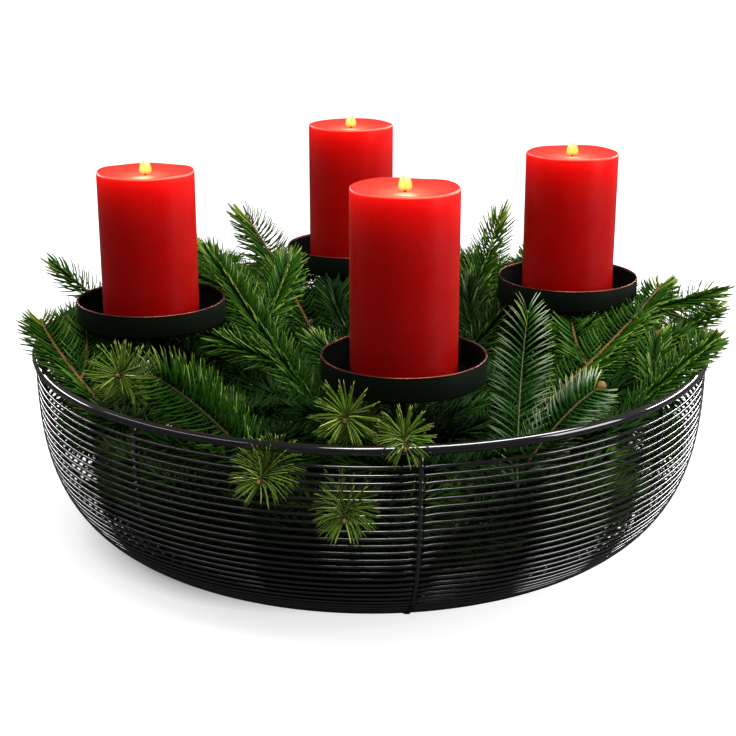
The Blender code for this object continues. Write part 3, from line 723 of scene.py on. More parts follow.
@dataclass
class WireBowl:
    """The bowl: rim rod, wall wires, ribs, the ring it stands on, and the floor's wires.

    Wall wires are counted down from the rim, and ribs round from the front one. The other ribs run
    inside the wires. The front rib is in line with the wires down to a length along the wall. Their
    ends stop at a share of its radius from its axis, and were pushed up or down to be welded to it.
    Turns are in radians from that rib, and its loose tail is given from its foot. Weld beads are
    shares of a wire's radius, and on the front rib of the rib's.
    """

    rim_radius: float = 0.2140
    rim_height: float = 0.1300
    rim_rod_radius: float = 0.0028
    wire_radius: float = 0.0010
    wire_pitch: float = 0.00465
    first_wire: int = 2
    last_wire: int = 41
    wire_sway: float = 0.00018
    sway_waves: int = 3
    sway_step: float = 1.7
    end_share: float = 0.6
    end_turn: float = 0.09
    end_steps: int = 9
    plain_turn: float = 0.12
    plain_steps: int = 118
    least_bend: float = 0.3
    end_lift: float = 0.0009
    end_lift_reach: float = 0.005
    end_drop: float = 0.0011
    end_drop_reach: float = 0.006
    rib_radius: float = 0.0015
    rib_count: int = 8
    rib_gap: float = 0.0002
    front_rib_in_line: float = 0.140
    front_rib_step_back: float = 0.030
    rib_steps: int = 44
    tail_girth: float = 0.9
    tail: tuple[Point, ...] = ((0.0, 0.0, 0.0), (-0.002, -0.0025, -0.0006),
                               (-0.005, -0.0035, -0.0008), (-0.0072, -0.002, -0.0006))
    bead_seed: int = 100
    bead_share: float = 1.25
    front_bead_shares: tuple[float, float] = (0.95, 1.35)
    bead_stray: float = 0.0004
    foot_radius: float = 0.1068
    foot_rod_radius: float = 0.00285
    floor_pitch: float = 0.0093
    roundness: float = 5.0
    steepness: float = 3.0
    profile_points: int = 4001
    normal_step: float = 0.0005
    lengths: np.ndarray = field(init=False)
    radii: np.ndarray = field(init=False)
    heights: np.ndarray = field(init=False)

    def __post_init__(self) -> None:
        """Work out the wall's profile from the rim down."""
        depths = self.rim_height * np.linspace(0.0, 1.0, self.profile_points)
        fall = (depths / self.rim_height) ** self.steepness
        self.radii = self.rim_radius * (1 - fall) ** (1 / self.roundness)
        self.heights = self.rim_height - depths
        steps = np.hypot(np.diff(depths), np.diff(self.radii))
        self.lengths = np.concatenate([[0.0], np.cumsum(steps)])

    def wall(self, length: float) -> tuple[float, float, float, float]:
        """Find the wall at a length down from the rim.

        Args:
            length: The length along the wall.

        Returns:
            Its radius and height, and how far its outward normal points out and up.
        """
        near = (length - self.normal_step, length + self.normal_step)
        profile = (self.radii, self.heights)
        radius, height = (float(np.interp(length, self.lengths, row)) for row in profile)
        run, rise = (float(np.diff(np.interp(near, self.lengths, row))[0]) for row in profile)
        size = math.hypot(run, rise)
        return radius, height, -rise / size, run / size

    def radius_at(self, heights: np.ndarray) -> np.ndarray:
        """Return the wall's radius at heights."""
        return np.interp(heights, self.heights[::-1], self.radii[::-1])

    def build(self, steel: bpy.types.Material) -> None:
        """Build all pieces of the bowl.

        Args:
            steel: The coated steel.
        """
        self.build_rim(steel)
        self.build_wires(steel)
        self.build_frame(steel)
        self.build_floor(steel)

    def build_rim(self, steel: bpy.types.Material) -> None:
        """Build the rim rod.

        Args:
            steel: The coated steel.
        """
        stock = MeshStock()
        ring = level_ring(self.rim_radius, self.rim_height, RIM_STEPS)
        sweep_rod(stock, ring, self.rim_rod_radius, RIM_SIDES, closed=True)
        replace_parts(stock.place("bowl_rim_rod", [steel], slot="black_steel"), "basket_rim")

    def wire_line(self, number: int) -> np.ndarray:
        """Work out one wall wire, from the front rib round to the front rib.

        Args:
            number: Its place down the wall.

        Returns:
            The middle line.
        """
        radius, height, out, up = self.wall(number * self.wire_pitch)
        # The first and last stretches, where the wire bends to its weld, have closer points
        start = self.rib_radius * self.end_share / radius
        turn = np.concatenate([np.linspace(start, self.end_turn, self.end_steps),
                               np.linspace(self.plain_turn, math.tau - self.plain_turn, self.plain_steps),
                               np.linspace(math.tau - self.end_turn, math.tau - start, self.end_steps)])
        dice = np.random.default_rng(number)
        near = np.exp(-((turn * radius) / self.end_drop_reach) ** 2)
        far = np.exp(-(((math.tau - turn) * radius) / self.end_lift_reach) ** 2)
        lift = dice.uniform(self.least_bend, 1.0) * self.end_lift * far
        drop = dice.uniform(self.least_bend, 1.0) * self.end_drop * near
        sway = self.wire_sway * np.sin(turn * self.sway_waves + number * self.sway_step)
        shift = lift - drop + sway
        heading = FRONT_HEADING + turn
        reach = radius - up * shift
        return np.stack([reach * np.cos(heading), reach * np.sin(heading), height + out * shift], -1)

    def build_wires(self, steel: bpy.types.Material) -> None:
        """Build the wall's wires, whose ends are welded to the front rib.

        Args:
            steel: The coated steel.
        """
        stock = MeshStock()
        for number in range(self.first_wire, self.last_wire + 1):
            sweep_rod(stock, self.wire_line(number), self.wire_radius, WIRE_SIDES)
        piece = stock.place("bowl_wall_wires", [steel], slot="black_steel")
        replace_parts(piece, *[name for name in sorted(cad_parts) if name.startswith("wire_")])

    def rib_heading(self, number: int) -> float:
        """Return a rib's heading round the bowl."""
        return FRONT_HEADING + number * math.tau / self.rib_count

    def rib_line(self, number: int) -> np.ndarray:
        """Work out one rib, from under the rim rod to the foot ring.

        Args:
            number: Its place round the bowl.

        Returns:
            The middle line.
        """
        heading = self.rib_heading(number)
        first = self.rim_rod_radius + self.rib_gap
        last = float(np.interp(-self.foot_radius, -self.radii, self.lengths))
        points = []
        for length in np.linspace(first, last, self.rib_steps):
            radius, height, out, up = self.wall(length)
            shift = self.wire_radius + self.rib_radius + self.rib_gap
            if number == 0:
                past = (length - self.front_rib_in_line) / self.front_rib_step_back
                shift *= min(max(past, 0.0), 1.0)
            points.append((radius - out * shift, height - up * shift))
        return np.array([[r * math.cos(heading), r * math.sin(heading), z] for r, z in points])

    def build_frame(self, steel: bpy.types.Material) -> None:
        """Build the ribs with their weld beads, the foot ring and the front rib's loose end.

        Args:
            steel: The coated steel.
        """
        stock = MeshStock()
        for number in range(self.rib_count):
            sweep_rod(stock, self.rib_line(number), self.rib_radius, WIRE_SIDES)
            self.add_beads(stock, number)
        ring = level_ring(self.foot_radius, self.foot_rod_radius, RING_STEPS)
        sweep_rod(stock, ring, self.foot_rod_radius, WIRE_SIDES, closed=True)
        # A few millimetres of the front rib stick out past the foot ring and curl aside
        tail = self.rib_line(0)[-1] + np.array(self.tail)
        sweep_rod(stock, tail, self.rib_radius * self.tail_girth, WIRE_SIDES)
        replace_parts(stock.place("bowl_ribs_and_foot", [steel], slot="black_steel"), "basket_frame")

    def add_beads(self, stock: MeshStock, number: int) -> None:
        """Add the weld beads between one rib and the wall's wires, larger on the front rib.

        Args:
            stock: What takes the mesh.
            number: The rib's place round the bowl.
        """
        heading = self.rib_heading(number)
        dice = np.random.default_rng(self.bead_seed + number)
        for wire in range(self.first_wire, self.last_wire + 1):
            radius, height, out, up = self.wall(wire * self.wire_pitch)
            inward = 0.0 if number == 0 else self.wire_radius
            size = self.wire_radius * self.bead_share
            if number == 0:
                size = self.rib_radius * dice.uniform(*self.front_bead_shares)
            reach = radius - out * inward
            level = height - up * inward + dice.uniform(-self.bead_stray, self.bead_stray)
            self.add_bead(stock, (reach * math.cos(heading), reach * math.sin(heading)), level, size)

    @staticmethod
    def add_bead(stock: MeshStock, centre: tuple[float, float], level: float, size: float) -> None:
        """Add one small round weld bead.

        Args:
            stock: What takes the mesh.
            centre: Its middle's x and y.
            level: Its middle's height.
            size: Its radius.
        """
        tilt = np.linspace(0.0, math.pi, BEAD_STEPS)
        profile = np.stack([size * np.sin(tilt), level - size * np.cos(tilt)], -1)
        turn_profile(stock, profile, centre, WIRE_SIDES)

    def build_floor(self, steel: bpy.types.Material) -> None:
        """Build the floor's wires, level with the top of the foot ring.

        Args:
            steel: The coated steel.
        """
        stock = MeshStock()
        level = 2 * self.foot_rod_radius - self.wire_radius
        for radius in np.arange(self.floor_pitch, self.foot_radius - self.foot_rod_radius, self.floor_pitch):
            ring = level_ring(float(radius), level, RING_STEPS)
            sweep_rod(stock, ring, self.wire_radius, WIRE_SIDES, closed=True)
        piece = stock.place("bowl_floor_wires", [steel], slot="black_steel")
        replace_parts(piece, "floor_wire_outer", "floor_wire_inner")


def axis_of(node: str) -> tuple[float, float]:
    """Return the x and y of a round node's upright axis."""
    low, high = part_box(node)
    return (low.x + high.x) / 2, (low.y + high.y) / 2


@dataclass
class CandleCup:
    """One shallow cup of sheet steel with a rolled copper-washed lip.

    The lip is a half round that wraps a little further on each side, in radians. Its depth is in
    its own radii.
    """

    arm: str
    sheet: float = 0.0012
    outer_corner: float = 0.0016
    inner_corner: float = 0.001
    lip: float = 0.0006
    lip_depth: float = 2.2
    lip_wrap: float = 0.7

    def build(self, steel: bpy.types.Material, copper: bpy.types.Material, painted_shade_inside: bpy.types.Material) -> None:
        """Build the cup.

        Args:
            steel: The coated steel.
            copper: The lip's metal.
            painted_shade_inside: The inside's finish.
        """
        low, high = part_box("cup_" + self.arm)
        outer = (high.x - low.x) / 2
        inner = outer - self.sheet
        middle = outer - self.sheet / 2
        corner = self.outer_corner
        floor = low.z + self.sheet
        lip_foot = high.z - self.lip_depth * self.lip
        bend = [(outer - corner + corner * math.sin(a), low.z + corner - corner * math.cos(a))
                for a in np.linspace(0.0, math.pi / 2, CORNER_STEPS)]
        lip = [(middle + self.lip * math.cos(a), high.z - self.lip + self.lip * math.sin(a))
               for a in np.linspace(-self.lip_wrap, math.pi + self.lip_wrap, LIP_STEPS)]
        profile = [(0.0, low.z), *bend, (outer, lip_foot), *lip, (inner, lip_foot),
                   (inner, floor + self.inner_corner), (inner - self.inner_corner, floor), (0.0, floor)]
        # Material 0 is the outside up to the lip's outer edge, 1 the lip, and 2 the inside, which is darker
        # as painted shade
        first_lip = 1 + len(bend)
        last_lip = first_lip + len(lip)
        numbers = [2 if row > last_lip else int(row > first_lip + 2) for row in range(len(profile) - 1)]
        stock = MeshStock()
        turn_profile(stock, np.array(profile), axis_of("cup_" + self.arm), TURNED_STEPS, numbers)
        piece = stock.place("candle_cup_" + self.arm, [steel, copper, painted_shade_inside], slot="black_steel")
        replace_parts(piece, "cup_" + self.arm)


@dataclass
class PillarCandle:
    """One burning pillar candle: wax, wick and flame.

    The dish runs from just inside the shoulder to just off the axis. The wick bends aside from a
    share of its height on, and by about its lean at the tip. A taper is the share of the girth that
    is lost on the way up.
    """

    arm: str
    seed: int
    foot_round: float = 0.001
    rim_round: float = 0.0016
    soft_depth: float = 0.010
    side_steps: int = 26
    shoulder_start: float = 0.2
    dish_depth: float = 0.0030
    dish_fullness: float = 2.6
    dish_start: float = 0.0006
    dish_end: float = 0.001
    dish_steps: int = 16
    waves: tuple[int, ...] = (2, 3, 5)
    wave_heights: tuple[float, float] = (0.00008, 0.00034)
    wick_radius: float = 0.0009
    wick_lean: float = 0.0012
    wick_bend_start: float = 0.6
    wick_bend: float = 6.0
    wick_taper: float = 0.35
    wick_points: int = 14
    flame_foot: float = 0.0004
    flame_height: float = 0.0138
    flame_radius: float = 0.0041
    flame_bluntness: float = 0.7
    flame_taper: float = 0.3
    flame_points: int = 22
    flame_steps: int = 32

    def build(self, wax: bpy.types.Material, top: bpy.types.Material, cotton: bpy.types.Material,
              fire: bpy.types.Material) -> None:
        """Build the candle's pieces.

        Args:
            wax: The dyed wax.
            top: The softened wax of the top.
            cotton: The wick's.
            fire: The flame's.
        """
        low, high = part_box("candle_" + self.arm)
        axis = axis_of("candle_" + self.arm)
        self.build_body(low.z, high.z, (high.x - low.x) / 2, axis, wax, top)
        self.build_wick(high.z, axis, cotton)
        self.build_flame(high.z, axis, fire)

    def build_body(self, low: float, high: float, radius: float, axis: tuple[float, float],
                   wax: bpy.types.Material, top: bpy.types.Material) -> None:
        """Build the wax body with its wavy dished top.

        Args:
            low: Height of its foot.
            high: Height of its rim.
            radius: Its radius.
            axis: Its axis's x and y.
            wax: The dyed wax.
            top: The softened wax of the top.
        """
        inner = radius - self.rim_round
        side = [(radius, z)
                for z in np.linspace(low + self.foot_round, high - self.rim_round, self.side_steps)]
        shoulder = [(radius - self.rim_round * (1 - math.cos(a)), high - self.rim_round * (1 - math.sin(a)))
                    for a in np.linspace(self.shoulder_start, math.pi / 2, CORNER_STEPS)]
        dish = [(r, high - self.dish_depth * (1 - (r / inner) ** self.dish_fullness))
                for r in np.linspace(inner - self.dish_start, self.dish_end, self.dish_steps)]
        profile = np.array([(0.0, low), (radius - self.foot_round, low), *side, *shoulder, *dish,
                            (0.0, high - self.dish_depth)])
        turn = np.linspace(0.0, math.tau, TURNED_STEPS, endpoint=False)
        dice = np.random.default_rng(self.seed)
        # The rim has sagged in slow waves, which die away down the side and towards the wick
        rim_wave = sum(dice.uniform(*self.wave_heights) * np.sin(k * turn + dice.uniform(0, math.tau))
                       for k in self.waves)
        near_top = np.clip((profile[:, 1] - high + self.soft_depth) / self.soft_depth, 0.0, 1.0)
        near_top = near_top * np.clip(profile[:, 0] / radius, 0, 1)
        # The softened wax starts half way over the shoulder
        first_soft = 2 + len(side) + len(shoulder) // 2
        numbers = [int(row >= first_soft) for row in range(len(profile) - 1)]
        stock = MeshStock()
        turn_profile(stock, profile, axis, TURNED_STEPS, numbers, near_top[:, None] * rim_wave[None, :])
        piece = stock.place("pillar_candle_" + self.arm, [wax, top], (*axis, high), "red_wax")
        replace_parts(piece, "candle_" + self.arm)

    def build_wick(self, high: float, axis: tuple[float, float], cotton: bpy.types.Material) -> None:
        """Build the wick, whose end leans left or right.

        Args:
            high: Height of the candle's rim.
            axis: The candle's axis's x and y.
            cotton: The wick's material.
        """
        bottom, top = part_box("wick_" + self.arm)
        lean = self.wick_lean * (1 if self.seed % 2 else -1)
        rise = np.linspace(0.0, 1.0, self.wick_points)
        aside = lean * np.clip(rise - self.wick_bend_start, 0, 1) ** 2 * self.wick_bend
        line = np.stack([axis[0] + aside, np.full(self.wick_points, axis[1]),
                         bottom.z + (top.z - bottom.z) * rise], -1)
        stock = MeshStock()
        sweep_rod(stock, line, self.wick_radius * (1 - self.wick_taper * rise ** 3), WICK_SIDES)
        piece = stock.place("cotton_wick_" + self.arm, [cotton], (*axis, high), "wick")
        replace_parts(piece, "wick_" + self.arm)

    def build_flame(self, high: float, axis: tuple[float, float], fire: bpy.types.Material) -> None:
        """Build the flame round the wick's upper half.

        Args:
            high: Height of the candle's rim.
            axis: The candle's axis's x and y.
            fire: The flame's material.
        """
        foot = high - self.dish_depth + self.flame_foot
        rise = np.linspace(0.0, 1.0, self.flame_points)
        width = self.flame_radius * np.sin(math.pi * rise ** 0.5) ** self.flame_bluntness
        width = width * (1 - self.flame_taper * rise)
        width[0] = width[-1] = 0.0
        profile = np.stack([width, foot + self.flame_height * rise], -1)
        stock = MeshStock()
        turn_profile(stock, profile, axis, self.flame_steps)
        stock.place("flame_" + self.arm, [fire], (*axis, high))


@dataclass
class BentRod:
    """One rod that carries two opposite cups on its upturned ends.

    A weld fillet's rows are shares of the rod's radius and depths below the cup.
    """

    node: str
    first: str
    last: str
    radius: float = 0.0020
    bend: float = 0.0400
    bend_start: float = 0.1
    bend_steps: int = 12
    post_steps: int = 14
    fillet_steps: int = 24
    fillet: tuple[tuple[float, float], ...] = ((1.0, 0.005), (1.25, 0.003), (1.9, 0.0008), (2.4, 0.0))

    def build(self, steel: bpy.types.Material) -> None:
        """Build the rod and the weld fillets under its cups.

        Args:
            steel: The coated steel.
        """
        low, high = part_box(self.node)
        ends = [np.array([*axis_of("cup_" + arm), 0.0]) for arm in (self.first, self.last)]
        # The solid's rod has six sides and lies on a flat one
        level = low.z + self.radius * math.cos(math.pi / 6)
        along = (ends[1] - ends[0]) / np.linalg.norm(ends[1] - ends[0])
        line = [ends[0] + (0, 0, z) for z in np.linspace(high.z, level + self.bend, self.post_steps)]
        for end, way, order in ((ends[0], along, 1), (ends[1], -along, -1)):
            arc = [end + way * self.bend * (1 - math.cos(a))
                   + np.array((0, 0, level + self.bend * (1 - math.sin(a))))
                   for a in np.linspace(self.bend_start, math.pi / 2, self.bend_steps)]
            line.extend(arc[::order])
        line.extend([ends[1] + (0, 0, z)
                     for z in np.linspace(level + self.bend, high.z, self.post_steps)])
        stock = MeshStock()
        sweep_rod(stock, np.array(line), self.radius, ROD_SIDES)
        skin = [(self.radius * share, high.z - depth) for share, depth in self.fillet]
        profile = np.array([(0.0, skin[0][1]), *skin, (0.0, skin[-1][1])])
        for end in ends:
            turn_profile(stock, profile, (end[0], end[1]), self.fillet_steps)
        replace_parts(stock.place("carrier_" + self.node, [steel], slot="black_steel"), self.node)


@dataclass
class Obstacles:
    """The cups, candles and flames that needles keep out of, as upright cylinders."""

    cup_gap: float = 0.0012
    cup_above: float = 0.001
    candle_gap: float = 0.0015
    flame_above: float = 0.030
    below: float = 0.001
    cylinders: list[tuple[float, float, float, float, float]] = field(default_factory=list)

    def __post_init__(self) -> None:
        """Take the round pieces' places from the frame."""
        for arm in ARM_NAMES:
            self.add_cylinder("cup_" + arm, self.cup_gap, self.cup_above)
            self.add_cylinder("candle_" + arm, self.candle_gap, self.flame_above)

    def add_cylinder(self, node: str, gap: float, above: float) -> None:
        """Add the cylinder round a node.

        Args:
            node: The node.
            gap: How much wider than the node it is.
            above: How far it reaches above the node.
        """
        low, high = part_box(node)
        radius = (high.x - low.x) / 2 + gap
        self.cylinders.append((*axis_of(node), radius, low.z - self.below, high.z + above))

    def blocks(self, points: np.ndarray) -> np.ndarray:
        """Tell which points are in something.

        Args:
            points: Points in the last axis, in any number of rows.

        Returns:
            A truth value for each point.
        """
        inside = np.zeros(points.shape[:-1], bool)
        for x, y, radius, low, high in self.cylinders:
            near = np.hypot(points[..., 0] - x, points[..., 1] - y) < radius
            inside |= near & (points[..., 2] > low) & (points[..., 2] < high)
        return inside


@dataclass(frozen=True)
class Blade:
    """How finely needles are drawn: shares of the length, and of the width there."""

    stations: tuple[float, ...]
    widths: tuple[float, ...]


FINE_BLADE = Blade((0.0, 0.22, 0.55, 0.85), (0.45, 0.95, 1.0, 0.66))
PLAIN_BLADE = Blade((0.0,), (1.0,))


@dataclass(frozen=True)
class Growth:
    """How needles spread over a twig, and how they and the twig's girth vary.

    Values are shares. The bud clearance is one for each metre of the bud's radius, and the roll
    strays by a multiple of the lean's stray. A pair is the least and the most, but for the lift,
    which is a mean and a spread.
    """

    taper: float = 0.5
    rank_shift: float = 0.37
    place_stray: float = 0.09
    bare_root: float = 0.02
    needled: float = 0.985
    bud_clearance: float = 15.0
    roll_stray: float = 1.4
    closing: float = 0.72
    full_length: float = 1.06
    short_at_tip: float = 0.2
    short_at_root: float = 0.3
    lengths: tuple[float, float] = (0.9, 1.05)
    widths: tuple[float, float] = (0.85, 1.1)
    girths: tuple[float, float] = (0.9, 1.12)
    lift: tuple[float, float] = (0.04, 0.05)
    young_from: float = 0.9
    youth: float = 0.9
    keel: float = 0.6
    pale_edge: float = 0.4


@dataclass(frozen=True)
class BudShape:
    """A bud: its length and sunk part in its greatest radii, and the scales round it."""

    rows: int = 9
    turns: int = 10
    length: float = 2.8
    sunk: float = 0.4
    fullness: float = 0.8
    least_radius: float = 0.0002
    scale_depth: float = 0.16
    scales_round: float = 2.5
    scale_twist: float = 2.4


@dataclass(frozen=True)
class NeedleRank:
    """One rank of needles on each side: its turn from straight up, its lean, and its share of length."""

    turn_deg: float
    lean_deg: float
    length: float


class Habit(Enum):
    """How the needles stand round a shoot."""

    COMBED = (NeedleRank(62, 58, 0.9), NeedleRank(80, 62, 1.0), NeedleRank(98, 62, 1.0),
              NeedleRank(122, 60, 0.9))
    PARTED = (NeedleRank(26, 48, 0.76), NeedleRank(56, 54, 0.94), NeedleRank(84, 58, 1.0),
              NeedleRank(114, 56, 0.94))
    FEATHER = (NeedleRank(78, 54, 0.98), NeedleRank(96, 55, 1.0))
    TUFT = (NeedleRank(12, 70, 0.95), NeedleRank(40, 72, 1.0), NeedleRank(68, 70, 0.96),
            NeedleRank(96, 72, 1.0), NeedleRank(124, 70, 1.0), NeedleRank(152, 72, 0.95))
    BUSHY = (NeedleRank(20, 60, 0.9), NeedleRank(64, 62, 1.0), NeedleRank(108, 62, 1.0),
             NeedleRank(152, 60, 0.9))


@dataclass(frozen=True)
class ShootPlan:
    """One fir shoot: where it runs and what grows on it.

    Places are in millimetres and other sizes in metres. Side shoots are given as shares of the twig,
    below 0 to its left. An inside shoot keeps its needles within the wires.
    """

    name: str
    root: Point
    bend: Point
    tip: Point
    needle: float = 0.019
    sides: tuple[float, ...] = ()
    habit: Habit = Habit.PARTED
    tone: NeedleTone = NeedleTone.MIDDLE
    bark: TwigBark = TwigBark.OLIVE
    twig: float = 0.0012
    bud: float = 0.0
    pitch: float = 0.0036
    width: float = 0.0018
    curl_deg: float = 14.0
    tilt_deg: float = 0.0
    inside: bool = False


@dataclass
class FirShoot:
    """A fir shoot with its side shoots. Needles are material 0, bark is 1 and buds are 2.

    Side shoots grow shorter towards the side limit, a share of the twig. A side shoot or a needle
    that something is in the way of is cut to a share of its length, again and again, until it is
    free or too short to keep. A stretch with less of a level direction than the steep value counts
    as upright. The fold is how far needles turn back from the wall, as a share of how far they
    would reach past it.
    """

    plan: ShootPlan
    stock: MeshStock
    obstacles: Obstacles
    bowl: WireBowl
    dice: np.random.Generator
    blade: Blade = FINE_BLADE
    unruly: float = 0.034
    growth: Growth = Growth()
    bud_shape: BudShape = BudShape()
    side_share: float = 0.62
    side_limit: float = 1.2
    side_sweep: float = 0.12
    side_cut: float = 0.9
    shortest_side: float = 0.026
    side_girth: float = 0.8
    side_bud: float = 0.6
    least_bud: float = 0.0009
    shortest_needle: float = 0.004
    needle_cut: float = 0.78
    needle_cuts: int = 5
    tried_shares: tuple[float, ...] = (0.35, 0.6, 0.8, 1.0)
    steep: float = 0.3
    wall_gap: float = 0.0026
    wall_foot: float = 0.004
    fold: float = 0.08
    floor_gap: float = 0.0075
    curve_points: int = 81

    def add(self) -> None:
        """Add the shoot's mesh to the stock."""
        root, bend, tip = (np.array(place) * MM for place in (self.plan.root, self.plan.bend, self.plan.tip))
        main_line = self.arc(root, bend, tip)
        for number, line in enumerate([main_line, *self.side_lines(main_line)]):
            tangents, sides, _ = frames_along(line)
            self.add_needles(line, tangents, sides)
            girth = self.plan.twig * (1 - self.growth.taper * np.linspace(0.0, 1.0, len(line)))
            bud = self.plan.bud
            if number:
                girth = girth * self.side_girth
                bud = bud * self.side_bud
            girth = girth * self.dice.uniform(*self.growth.girths, len(line))
            sweep_rod(self.stock, line, girth, TWIG_SIDES, number=1)
            self.add_bud(line[-1], tangents[-1], max(bud, self.least_bud))

    def arc(self, root: np.ndarray, bend: np.ndarray, tip: np.ndarray, pitch: float = 0.0035) -> np.ndarray:
        """Work out evenly spaced points from a root through a bend to a tip.

        Args:
            root: Where the line starts.
            bend: A place half way along.
            tip: Where it ends.
            pitch: The spacing.

        Returns:
            The points, a row each.
        """
        share = np.linspace(0.0, 1.0, self.curve_points)[:, None]
        middle = bend * 2 - (root + tip) * 0.5
        fine = root * (1 - share) ** 2 + middle * 2 * share * (1 - share) + tip * share ** 2
        steps = np.concatenate([[0.0], np.cumsum(np.linalg.norm(np.diff(fine, axis=0), axis=1))])
        marks = np.linspace(0.0, steps[-1], max(round(steps[-1] / pitch), 4) + 1)
        return np.stack([np.interp(marks, steps, fine[:, axis]) for axis in range(3)], -1)

    def side_lines(self, line: np.ndarray) -> list[np.ndarray]:
        """Work out the side shoots' middle lines, each shortened until nothing is in its way.

        Args:
            line: The main twig's points.

        Returns:
            The lines, from the main twig outwards.
        """
        found = []
        for place in self.plan.sides:
            share = abs(place)
            k = min(max(round(share * len(line)), 1), len(line) - 2)
            tangent = line[k + 1] - line[k - 1]
            tangent /= np.linalg.norm(tangent)
            level = np.cross(tangent, (0.0, 0.0, 1.0))
            level *= math.copysign(1.0, place) / np.linalg.norm(level)
            way = (tangent + level) / math.sqrt(2)
            length = np.linalg.norm(line[-1] - line[0]) * self.side_share * (self.side_limit - share)
            while length > self.shortest_side:
                side = self.arc(line[k], line[k] + way * length * 0.5,
                                line[k] + way * length + tangent * length * self.side_sweep)
                if not self.obstacles.blocks(side).any():
                    found.append(side)
                    break
                length *= self.side_cut
        return found

    def flat_and_up(self, tangents: np.ndarray, sides: np.ndarray) -> tuple[np.ndarray, np.ndarray]:
        """Work out a twig's level and upward directions, turned by the plan's tilt.

        Args:
            tangents: The twig's directions.
            sides: Directions square to them, for stretches that stand upright.

        Returns:
            The two directions, a row each.
        """
        level = np.cross(tangents, (0.0, 0.0, 1.0))
        level = np.where(np.linalg.norm(level, axis=1)[:, None] < self.steep, sides, level)
        level /= np.linalg.norm(level, axis=1)[:, None]
        upward = np.cross(level, tangents)
        tilt = math.radians(self.plan.tilt_deg)
        return (level * math.cos(tilt) + upward * math.sin(tilt),
                upward * math.cos(tilt) - level * math.sin(tilt))

    def add_needles(self, line: np.ndarray, tangents: np.ndarray, sides: np.ndarray) -> None:
        """Add the needles of one twig.

        Args:
            line: The twig's points.
            tangents: Its directions there.
            sides: Directions square to them.
        """
        level, upward = self.flat_and_up(tangents, sides)
        length = np.linalg.norm(np.diff(line, axis=0), axis=1).sum()
        count = max(int(length / self.plan.pitch), 5)
        dice = self.dice
        growth = self.growth
        needled = growth.needled - growth.bud_clearance * self.plan.bud
        for number, rank in enumerate(self.plan.habit.value):
            for way in (-1, 1):
                phase = (number * growth.rank_shift + (0.5 if way > 0 else 0.0)) % 1.0
                share = (np.arange(count) + phase + dice.normal(0.0, growth.place_stray, count)) / count
                # Needles start a little past the root and end before the bud
                share = np.clip(share * needled + growth.bare_root, 0.0, 1.0)
                row = share * (len(line) - 1)
                base, tangent, flat, up = (np.stack([np.interp(row, np.arange(len(line)), rows[:, axis])
                                                     for axis in range(3)], -1)
                                           for rows in (line, tangents, level, upward))
                roll = dice.normal(0.0, self.unruly * growth.roll_stray, count)
                roll = way * math.radians(rank.turn_deg) + roll
                out = up * np.cos(roll)[:, None] + flat * np.sin(roll)[:, None]
                # Towards the tip they close in on the twig, and at both ends they are shorter
                lean = math.radians(rank.lean_deg) * (1 - growth.closing * share ** 8)
                lean = lean + dice.normal(0.0, self.unruly, count)
                size = self.plan.needle * rank.length * (growth.full_length - growth.short_at_tip * share ** 5
                                                         - growth.short_at_root * (1 - share) ** 5)
                size = size * dice.uniform(*growth.lengths, count)
                own = dice.uniform(0.0, 1.0, count)
                own = own + np.where(share > growth.young_from, dice.uniform(0.0, growth.youth, count), 0.0)
                self.lay_rank(base, tangent, out, lean, size, own)

    def lay_rank(self, base: np.ndarray, tangent: np.ndarray, out: np.ndarray, lean: np.ndarray,
                 size: np.ndarray, own: np.ndarray) -> None:
        """Lay the needles of one rank, shorter or left out where something is in the way.

        Args:
            base: Their feet on the twig's middle line.
            tangent: The twig's directions there.
            out: Their directions square to the twig.
            lean: Their leans off the twig.
            size: Their lengths.
            own: Their own shades, above 1 where they are young.
        """
        curl = math.radians(self.plan.curl_deg)
        start, stop = (tangent * np.cos(lean + turn)[:, None] + out * np.sin(lean + turn)[:, None]
                       for turn in (curl, -curl))
        stop[:, 2] += self.dice.normal(*self.growth.lift, len(base))
        marks = np.array(self.tried_shares)[None, :, None]
        for _ in range(self.needle_cuts):
            reach = size[:, None, None] * (marks * start[:, None] + marks ** 2 * (stop - start)[:, None] / 2)
            blocked = self.obstacles.blocks(base[:, None] + reach).any(axis=1)
            size = np.where(blocked, size * self.needle_cut, size)
        keep = (~blocked) & (size > self.shortest_needle)
        base, start, stop, out, tangent, size, own = (
            rows[keep] for rows in (base, start, stop, out, tangent, size, own))
        across = np.cross(tangent, out)
        across /= np.linalg.norm(across, axis=1)[:, None]
        if len(base):
            self.add_blades(base, start, stop, across, size, own)

